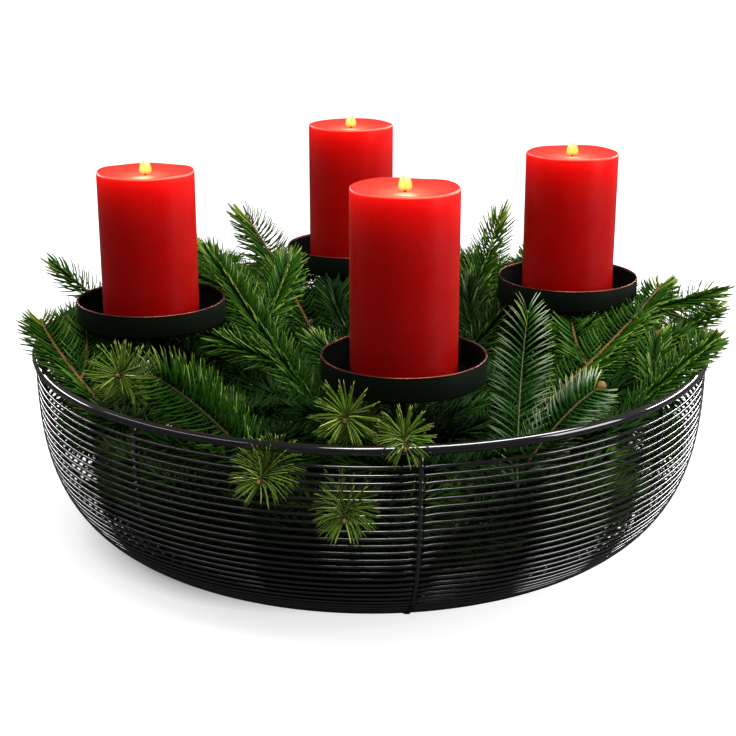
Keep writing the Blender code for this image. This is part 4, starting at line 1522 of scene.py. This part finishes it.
    def add_blades(self, base: np.ndarray, start: np.ndarray, stop: np.ndarray, across: np.ndarray,
                   size: np.ndarray, own: np.ndarray) -> None:
        """Add blades of three-sided section that leave in one direction and end in another.

        Args:
            base: Their feet on the twig's middle line.
            start: The directions that they leave in.
            stop: The directions that they end in.
            across: Their width directions.
            size: Their lengths.
            own: Their own shades.
        """
        count = len(base)
        width = self.plan.width * self.dice.uniform(*self.growth.widths, count)[:, None]
        edge = self.growth.pale_edge
        rings = []
        traits = []
        for share, girth in (*zip(self.blade.stations, self.blade.widths), (1.0, 0.0)):
            middle = base + size[:, None] * (share * start + share ** 2 * (stop - start) / 2)
            way = start + share * (stop - start)
            up = np.cross(across, way)
            up /= np.linalg.norm(up, axis=1)[:, None]
            half = width * girth / 2
            corners = ((middle + across * half, edge), (middle + up * half * self.growth.keel, 0.0),
                       (middle - across * half, edge))
            if girth == 0.0:
                corners = ((middle, edge),)
            for place, below in corners:
                rings.append(place)
                traits.append(np.stack([np.full(count, share), own, np.full(count, below)], -1))
        points = np.stack(rings, axis=1)
        if self.plan.inside:
            points = self.press_inside(points)
        every = self.blade_faces()[None, :, :] + (np.arange(count) * points.shape[1])[:, None, None]
        traits = np.stack(traits, axis=1)
        self.stock.add(points.reshape(-1, 3), every.reshape(-1, 3), 0, traits.reshape(-1, 3))

    def blade_faces(self) -> np.ndarray:
        """Work out one blade's triangles: its foot, its sides and its point.

        Returns:
            Vertex numbers, a row for each triangle.
        """
        faces = [(0, 2, 1)]
        rows = len(self.blade.stations)
        for row in range(rows - 1):
            for k in range(3):
                a, b = row * 3 + k, row * 3 + (k + 1) % 3
                faces.extend([(a, b, b + 3), (a, b + 3, a + 3)])
        faces.extend([((rows - 1) * 3 + k, (rows - 1) * 3 + (k + 1) % 3, rows * 3) for k in range(3)])
        return np.array(faces)

    def press_inside(self, points: np.ndarray) -> np.ndarray:
        """Press needles in where they would reach through the wires or the floor.

        Args:
            points: The needles' vertices.

        Returns:
            The moved vertices.
        """
        rim = self.bowl.rim_height
        limit = self.bowl.radius_at(np.clip(points[..., 2], self.wall_foot, rim)) - self.wall_gap
        reach = np.hypot(points[..., 0], points[..., 1])
        # What would reach past the limit is folded back by a small share of how far it is past it
        pressed = np.where(reach > limit, limit - self.fold * (reach - limit), reach)
        pressed = np.where(points[..., 2] > rim, reach, pressed)
        factor = pressed / np.maximum(reach, 1e-6)
        moved = points.copy()
        moved[..., 0] *= factor
        moved[..., 1] *= factor
        moved[..., 2] = np.maximum(moved[..., 2], self.floor_gap)
        return moved

    def add_bud(self, place: np.ndarray, way: np.ndarray, size: float) -> None:
        """Add a pointed bud with overlapping scales.

        Args:
            place: Its foot.
            way: The direction it points in.
            size: Its greatest radius.
        """
        shape = self.bud_shape
        rows, turns = shape.rows, shape.turns
        rise = np.linspace(0.0, 1.0, rows)
        girth = size * np.sin(math.pi * rise ** shape.fullness) ** shape.fullness + shape.least_radius
        line = place + way * (rise[:, None] * size * shape.length - size * shape.sunk)
        _, side, other = frames_along(line)
        turn = np.linspace(0.0, math.tau, turns, endpoint=False)
        twist = np.arange(rows)[:, None] * shape.scale_twist
        scales = 1 + shape.scale_depth * np.sin(shape.scales_round * turn[None, :] + twist)
        ring = side[:, None] * np.cos(turn)[None, :, None] + other[:, None] * np.sin(turn)[None, :, None]
        points = (line[:, None] + ring * (girth[:, None] * scales)[..., None]).reshape(-1, 3)
        near = np.arange(rows - 1)[:, None] * turns + np.arange(turns)[None, :]
        after = np.arange(rows - 1)[:, None] * turns + (np.arange(turns)[None, :] + 1) % turns
        quads = np.stack([near, after, after + turns, near + turns], -1).reshape(-1, 4)
        self.stock.add(points, quads, 2)


# Where side shoots leave a twig
ONE_SIDE = (-0.26,)
TWO_SIDES = (-0.26, 0.72)
THREE_SIDES = (-0.26, 0.49, -0.72)


def star_plan(name: str, root: Point, bend: Point, tip: Point, needle: float, pitch: float,
              bud: float = 0.0012) -> ShootPlan:
    """Plan a fresh shoot that shows end on, as a star of needles.

    Args:
        name: The node it stands for.
        root: Its root.
        bend: Its middle.
        tip: Its tip.
        needle: Its needles' length.
        pitch: Their spacing.
        bud: Its bud's radius.

    Returns:
        The plan.
    """
    return ShootPlan(name, root, bend, tip, needle, (), Habit.TUFT, NeedleTone.FRESH, TwigBark.YOUNG,
                     bud=bud, pitch=pitch, width=0.0010)


def inner_plan(name: str, root: Point, bend: Point, tip: Point) -> ShootPlan:
    """Plan a branched shoot that runs out from the bowl's middle to its wall, with shade painted into its
    dark needles and bark.

    Args:
        name: The node it stands for.
        root: Its root.
        bend: Its middle.
        tip: Its tip.

    Returns:
        The plan.
    """
    return ShootPlan(name, root, bend, tip, 0.023, THREE_SIDES, tone=NeedleTone.DARK,
                     bark=TwigBark.SHADED, inside=True)


# The main shoots. Each stands for the node of the same name, and most tones paint light or shade by where the
# shoot lies
SHOOTS = (
    ShootPlan("spray_left_far", (-152, -98, 104), (-186, -72, 135), (-206, -40, 151), 0.022, (0.34,),
              Habit.COMBED, NeedleTone.BRIGHT, TwigBark.YOUNG, 0.0016, 0.001),
    ShootPlan("spray_left_back", (-158, 60, 108), (-192, 70, 136), (-217, 76, 156), 0.021, (),
              Habit.COMBED, NeedleTone.BRIGHT, pitch=0.0044, width=0.002),
    star_plan("spray_left_star", (-140, -88, 112), (-144, -106, 134), (-145, -124, 142), 0.023, 0.0029,
              0.0013),
    ShootPlan("spray_left_front", (-62, -188, 112), (-94, -160, 134), (-123, -134, 145), 0.025, (),
              Habit.COMBED, NeedleTone.BRIGHT, twig=0.0009, pitch=0.0037, tilt_deg=58),
    ShootPlan("spray_left_inner", (-30, -82, 104), (-72, -20, 142), (-110, 46, 176), 0.022, THREE_SIDES,
              tone=NeedleTone.BRIGHT),
    ShootPlan("spray_back_left", (-36, 60, 104), (-62, 104, 142), (-92, 150, 178), 0.025, ONE_SIDE,
              Habit.COMBED, NeedleTone.BRIGHT, TwigBark.YOUNG, 0.0015, 0.001),
    ShootPlan("spray_back_right", (48, 40, 108), (74, 96, 136), (94, 136, 180), 0.022, ONE_SIDE,
              tone=NeedleTone.BRIGHT, bud=0.001),
    ShootPlan("spray_front_frond", (78, -196, 102), (84, -138, 134), (93, -84, 168), 0.0235, (),
              Habit.FEATHER, NeedleTone.FROSTED, TwigBark.GREEN, 0.0006, pitch=0.0048, width=0.0016,
              curl_deg=-14),
    ShootPlan("spray_right_high", (106, -92, 114), (156, -34, 140), (194, 27, 157), 0.022, TWO_SIDES,
              Habit.COMBED, NeedleTone.BRIGHT, TwigBark.YOUNG, 0.0016, 0.001),
    ShootPlan("spray_right_far", (166, -22, 114), (202, -4, 133), (226, 15, 143), 0.019,
              tone=NeedleTone.BRIGHT, bud=0.001),
    ShootPlan("spray_right_low", (152, -102, 112), (192, -72, 134), (213, -45, 141), 0.018, ONE_SIDE,
              tone=NeedleTone.BRIGHT, bud=0.0042),
    ShootPlan("spray_right_bud", (84, -186, 112), (104, -174, 134), (126, -152, 144), 0.019, (),
              Habit.COMBED, NeedleTone.FROSTED, twig=0.0009, bud=0.0027, tilt_deg=-48),
    star_plan("spray_front_star", (-6, -160, 116), (-12, -184, 138), (-14, -204, 143), 0.022, 0.0029),
    star_plan("spray_rim_star", (16, -176, 118), (17, -202, 134), (17, -221, 134), 0.018, 0.0036),
    star_plan("spray_wire_star_high", (-50, -178, 112), (-54, -200, 115), (-58, -222, 115.9), 0.021,
              0.0034),
    star_plan("spray_wire_star_low", (-12, -180, 88), (-13, -204, 97), (-14, -229, 97.4), 0.021, 0.0036),
    ShootPlan("spray_middle_front", (20.5, -145.6, 97), (20, -66, 132), (2, -18, 146), 0.021, TWO_SIDES),
    ShootPlan("spray_middle_back", (-26, 6, 104), (0, 50, 134), (34, 86, 150), 0.021, TWO_SIDES,
              tone=NeedleTone.DARK, bark=TwigBark.SHADED),
    ShootPlan("spray_middle_right", (52, -10, 104), (84, 24, 132), (112, 74, 144), 0.021, ONE_SIDE,
              tone=NeedleTone.DARK, bark=TwigBark.SHADED),
    ShootPlan("spray_back_rim_left", (-96, 118, 106), (-126, 160, 134), (-142, 190, 150), 0.019, ONE_SIDE),
    ShootPlan("spray_back_rim", (-34, 168, 106), (-2, 194, 134), (30, 224, 150), 0.019, ONE_SIDE),
    ShootPlan("spray_back_rim_right", (110, 104, 106), (144, 142, 134), (170, 166, 152), 0.019, ONE_SIDE),
    inner_plan("spray_inside_front_left", (-21, -12, 46), (-88, -62, 50), (-165, -95, 60)),
    inner_plan("spray_inside_front", (-3, -26, 78), (-22, -106, 80), (-24, -195, 88)),
    inner_plan("spray_inside_front_right", (19, -15, 48), (91, -59, 51), (150, -117, 60)),
    inner_plan("spray_inside_right", (23, 12, 76), (93, 56, 80), (175, 89, 90)),
    inner_plan("spray_inside_back", (4, 24, 46), (26, 105, 50), (33, 187, 60)),
    inner_plan("spray_inside_left", (-19, 18, 80), (-84, 68, 86), (-141, 136, 92)),
    ShootPlan("spray_inside_middle", (-72, -64, 30), (0, -30, 22), (64, 34, 29), 0.020,
              tone=NeedleTone.DARK, bark=TwigBark.SHADED, inside=True),
)


@dataclass(frozen=True)
class FirFinishes:
    """The materials of all shoots: needles by tone, barks, and the bud scales."""

    needles: dict[NeedleTone, bpy.types.Material]
    barks: dict[TwigBark, bpy.types.Material]
    bud: bpy.types.Material

    def of_shoot(self, tone: NeedleTone, bark: TwigBark) -> list[bpy.types.Material]:
        """Return a shoot's materials, in the order of its faces' numbers."""
        return [self.needles[tone], self.barks[bark], self.bud]


@dataclass
class FirSprays:
    """The main shoots, each a piece of its own."""

    bowl: WireBowl
    obstacles: Obstacles
    first_seed: int = 500

    def build(self, finishes: FirFinishes) -> None:
        """Build the shoots, each in place of its node.

        Args:
            finishes: The shoots' materials.
        """
        for number, plan in enumerate(SHOOTS):
            stock = MeshStock()
            dice = np.random.default_rng(self.first_seed + number)
            FirShoot(plan, stock, self.obstacles, self.bowl, dice).add()
            name = plan.name.replace("spray", "fir")
            piece = stock.place(name, finishes.of_shoot(plan.tone, plan.bark), slot="fir")
            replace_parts(piece, plan.name)


@dataclass(frozen=True)
class FillRow:
    """A ring of short shoots that fill the bowl at one height, or a part of such a ring.

    The reach and height are in metres, and the rise from root to tip is in millimetres.
    """

    count: int
    reach: float
    height: float
    sweep_deg: float
    rise: float
    first_deg: float = 0.0
    span_deg: float = 360.0


@dataclass(frozen=True)
class FillPart:
    """Rows of shoots that make one piece: its name, needle tone and seed."""

    name: str
    tone: NeedleTone
    seed: int
    rows: tuple[FillRow, ...]


# Each part's tone paints shade deep in the bowl and light by the wall, where the lamps reach
FILLING = (
    FillPart("filling_low", NeedleTone.DARK, 11, (
        FillRow(6, 0.060, 0.024, 60, 3), FillRow(12, 0.105, 0.022, 36, 4),
        FillRow(18, 0.136, 0.020, 28, 4), FillRow(22, 0.156, 0.024, 24, 6),
        FillRow(20, 0.168, 0.040, 26, 8))),
    FillPart("filling_wall", NeedleTone.BRIGHT, 12, (
        FillRow(20, 0.182, 0.054, 25, 8), FillRow(21, 0.190, 0.070, 24, 9),
        FillRow(21, 0.194, 0.086, 24, 9))),
    FillPart("filling_core", NeedleTone.SHADED, 12, (
        FillRow(16, 0.150, 0.070, 30, 8), FillRow(13, 0.110, 0.060, 38, 8),
        FillRow(10, 0.074, 0.060, 52, 8), FillRow(6, 0.038, 0.060, 90, 8))),
    FillPart("filling_top", NeedleTone.DARK, 11, (
        FillRow(20, 0.188, 0.104, 25, 10), FillRow(17, 0.156, 0.106, 29, 12),
        FillRow(15, 0.122, 0.104, 36, 12), FillRow(12, 0.084, 0.102, 48, 10),
        FillRow(8, 0.048, 0.100, 72, 8))),
    FillPart("filling_back", NeedleTone.MIDDLE, 12, (
        FillRow(13, 0.196, 0.122, 17, 14, 8, 196), FillRow(11, 0.172, 0.124, 20, 20, 14, 186),
        FillRow(9, 0.140, 0.122, 24, 20, 20, 170))),
)


@dataclass
class FirFilling:
    """The many plain shoots that fill the bowl between the main ones.

    The pulls move a shoot's root, bend and tip outwards from its row's reach.
    Light shows through the bowl at both sides, so some shoots by the wall are left out there: past
    a share of the way aside, each with its odds, first on the right and then on the left.
    """

    bowl: WireBowl
    obstacles: Obstacles
    unruly: float = 0.2
    place_stray: float = 0.2
    reach_stray_mm: float = 4.0
    height_stray_mm: float = 3.0
    pulls_mm: tuple[float, float, float] = (-14.0, 2.0, 0.0)
    thin_reach: float = 0.18
    thin_height: float = 0.10
    thin_right: tuple[float, float] = (0.80, 0.6)
    thin_left: tuple[float, float] = (0.88, 0.35)

    def build(self, finishes: FirFinishes) -> None:
        """Build the filling, one piece for each part of the bowl.

        Args:
            finishes: The shoots' materials.
        """
        for part in FILLING:
            dice = np.random.default_rng(part.seed)
            stock = MeshStock()
            for row in part.rows:
                for number in range(row.count):
                    plan = self.plan_one(part, row, number, dice)
                    if not self.is_thin(row, plan, dice):
                        FirShoot(plan, stock, self.obstacles, self.bowl, dice, PLAIN_BLADE, self.unruly).add()
            stock.place(part.name, finishes.of_shoot(part.tone, TwigBark.SHADED), slot="fir")

    def is_thin(self, row: FillRow, plan: ShootPlan, dice: np.random.Generator) -> bool:
        """Tell whether a shoot is left out.

        Args:
            row: Its row.
            plan: Its plan.
            dice: The seeded draw, used only for shoots by the wall at both sides.

        Returns:
            Whether it is left out.
        """
        aside = plan.bend[0] / math.hypot(plan.bend[0], plan.bend[1])
        limit, odds = self.thin_right if aside > 0 else self.thin_left
        by_wall = row.reach > self.thin_reach and row.height < self.thin_height
        return by_wall and abs(aside) > limit and dice.uniform() < odds

    def plan_one(self, part: FillPart, row: FillRow, number: int, dice: np.random.Generator) -> ShootPlan:
        """Lay out one shoot of a row. Shoots sweep round the bowl one way and the other by turns.

        Args:
            part: The part of the filling.
            row: The row.
            number: The shoot's place in it.
            dice: The seeded draw.

        Returns:
            The shoot's plan.
        """
        place = (number + dice.uniform(-self.place_stray, self.place_stray)) / row.count
        heading = math.radians(row.first_deg + row.span_deg * place)
        sweep = math.radians(row.sweep_deg) * (1 if number % 2 else -1)
        places = []
        # The root lies further in than the bend and the tip
        for share, pull in zip((0.0, 0.5, 1.0), self.pulls_mm):
            reach = row.reach / MM + pull + dice.uniform(-self.reach_stray_mm, self.reach_stray_mm)
            angle = heading + sweep * share
            level = dice.uniform(-self.height_stray_mm, self.height_stray_mm)
            level = row.height / MM + row.rise * share + level
            places.append((reach * math.cos(angle), reach * math.sin(angle), level))
        return ShootPlan(part.name, *places, needle=0.021, habit=Habit.BUSHY, tone=part.tone,
                         pitch=0.0019, width=0.0024, inside=True)


@dataclass(frozen=True)
class Softbox:
    """A rectangular soft light: its power in watts, its sides and place, and the height it looks at."""

    name: str
    power: float
    size: tuple[float, float]
    place: Point
    look_height: float

    def build(self) -> None:
        """Build the light, aimed at the bowl's axis."""
        light = bpy.data.lights.new(self.name, "AREA")
        light.energy = self.power
        light.shape = "RECTANGLE"
        light.size, light.size_y = self.size
        lamp = bpy.data.objects.new(self.name, light)
        lamp.location = self.place
        way = Vector((0.0, 0.0, self.look_height)) - Vector(self.place)
        lamp.rotation_euler = way.to_track_quat("-Z", "Y").to_euler()
        bpy.context.scene.collection.objects.link(lamp)


@dataclass
class Studio:
    """The pale floor, the soft lights and the camera.

    The lights are a long one above, one at the right, and thin strips at the left and behind, which
    the lacquered wires mirror as thin light lines.
    """

    lights: tuple[Softbox, ...] = (
        Softbox("long_softbox", 40.0, (1.9, 0.42), (0.40, -0.38, 1.6), 0.1),
        Softbox("right_softbox", 5.0, (0.5, 0.5), (1.0, -0.45, 0.45), 0.12),
        Softbox("left_softbox", 1.8, (1.3, 0.08), (-1.0, -0.34, 0.95), 0.1),
        Softbox("left_back_softbox", 8.0, (1.3, 0.1), (-1.1, 0.75, 0.6), 0.12),
        Softbox("right_back_softbox", 18.0, (1.3, 0.1), (1.2, 0.70, 0.6), 0.12))
    sky_strength: float = 0.12
    floor_half: float = 12.0
    floor_drop: float = 0.0002
    shadow_centre: Point = (-0.045, 0.012, 0.0)
    shadow_reach: float = 0.32
    camera_place: Point = (-0.0018, -0.928, 0.400)
    camera_pitch_deg: float = 17.5
    focal_length_px: float = 1475.0
    image_px: float = 736.0
    sensor_mm: float = 36.0

    def build(self) -> None:
        """Build the floor, sky, lights and camera."""
        self.build_floor()
        self.build_sky()
        for softbox in self.lights:
            softbox.build()
        self.build_camera()

    def paper(self) -> bpy.types.Material:
        """Build the floor's material.

        Returns:
            The white paper.
        """
        # Matt seamless paper, overexposed to white for the camera but for a painted soft shadow: the camera
        # sees an emission that darkens towards the shadow's centre. To other rays the paper is dark, so that
        # it casts little light back on the bowl's underside
        material, tree, shader = new_material("seamless_white_paper", {
            "Base Color": linear("#a8a8a8"), "Roughness": 0.9, "Specular IOR Level": 0.0,
            "Emission Color": linear("#ffffff")})
        place = add_node(tree, "ShaderNodeTexCoord").outputs["Object"]
        aside = add_node(tree, "ShaderNodeVectorMath", {"operation": "SUBTRACT"},
                         {1: self.shadow_centre}, {0: place})
        reach = add_node(tree, "ShaderNodeVectorMath", {"operation": "LENGTH"}, links={0: aside.outputs[0]})
        share = add_node(tree, "ShaderNodeMapRange", values={"From Max": self.shadow_reach},
                         links={"Value": reach.outputs["Value"]})
        # Painted shadow: the glow is darkest round the shadow's centre and white further out
        glow = add_node(tree, "ShaderNodeValToRGB", links={0: share.outputs["Result"]})
        set_ramp(glow, ((0.38, "#484848"), (0.43, "#b4b4b4"), (0.48, "#e2e2e2"), (0.57, "#f1f1f1"),
                        (0.86, "#ffffff")))
        tree.links.new(glow.outputs["Color"], shader.inputs["Emission Strength"])
        dark = add_node(tree, "ShaderNodeBsdfDiffuse", values={"Color": linear("#484848")})
        seen = add_node(tree, "ShaderNodeLightPath").outputs["Is Camera Ray"]
        both = add_node(tree, "ShaderNodeMixShader",
                        links={0: seen, 1: dark.outputs[0], 2: shader.outputs[0]})
        tree.links.new(both.outputs[0], tree.nodes["Material Output"].inputs["Surface"])
        return material

    def build_floor(self) -> None:
        """Build the white paper floor."""
        half = self.floor_half
        mesh = bpy.data.meshes.new("paper_floor")
        mesh.from_pydata([(-half, -half, 0), (half, -half, 0), (half, half, 0), (-half, half, 0)], [],
                         [(0, 1, 2, 3)])
        mesh.materials.append(self.paper())
        floor = bpy.data.objects.new("paper_floor", mesh)
        floor.location.z = -self.floor_drop
        bpy.context.scene.collection.objects.link(floor)

    def build_sky(self) -> None:
        """Build an even pale sky that the camera sees as white."""
        world = bpy.data.worlds.new("studio_white")
        bpy.context.scene.world = world
        world.use_nodes = True
        tree = world.node_tree
        soft = tree.nodes["Background"]
        soft.inputs["Color"].default_value = linear("#ffffff")
        soft.inputs["Strength"].default_value = self.sky_strength
        white = add_node(tree, "ShaderNodeBackground", values={"Color": linear("#ffffff"), "Strength": 1.0})
        seen = add_node(tree, "ShaderNodeLightPath").outputs["Is Camera Ray"]
        both = add_node(tree, "ShaderNodeMixShader",
                        links={0: seen, 1: soft.outputs[0], 2: white.outputs[0]})
        tree.links.new(both.outputs[0], tree.nodes["World Output"].inputs["Surface"])

    def build_camera(self) -> None:
        """Build the camera at the photograph's place."""
        lens = bpy.data.cameras.new("camera")
        lens.sensor_width = self.sensor_mm
        lens.lens = self.focal_length_px / self.image_px * self.sensor_mm
        camera = bpy.data.objects.new("camera", lens)
        camera.location = self.camera_place
        camera.rotation_euler = (math.radians(90 - self.camera_pitch_deg), 0.0, 0.0)
        bpy.context.scene.collection.objects.link(camera)
        bpy.context.scene.camera = camera
        bpy.context.scene.view_settings.view_transform = "Standard"


def main() -> None:
    """Build the dressed wreath and its studio."""
    logging.basicConfig(level=logging.INFO, format="%(name)s %(message)s")
    steel = PowderCoatedSteel().build()
    # The cups' insides get a darker coat of their own, as painted shade
    painted_shade_inside = PowderCoatedSteel("painted_shade_cup_inside", "#020302", "#030503", 0.7, 1.4, 0.02).build()
    lacquer = PowderCoatedSteel("gloss_lacquered_wire", "#030302", "#070605", 0.5, 0.9, 0.04, 1.0).build()
    copper = BareCopperEdge().build()
    wax = PillarWax().build()
    top = MoltenWax().build()
    cotton = CharredCotton().build()
    fire = CandleFlame().build()
    finishes = FirFinishes({tone: FirNeedle(tone).build() for tone in NeedleTone},
                           {bark: bark.value.build() for bark in TwigBark}, BUD_SCALES.build())
    bowl = WireBowl()
    bowl.build(lacquer)
    for seed, arm in enumerate(ARM_NAMES):
        CandleCup(arm).build(steel, copper, painted_shade_inside)
        PillarCandle(arm, seed).build(wax, top, cotton, fire)
    BentRod("rod_front_back", "front", "back").build(steel)
    BentRod("rod_left_right", "left", "right").build(steel)
    obstacles = Obstacles()
    FirSprays(bowl, obstacles).build(finishes)
    FirFilling(bowl, obstacles).build(finishes)
    Studio().build()


if __name__ == "__main__":
    main()
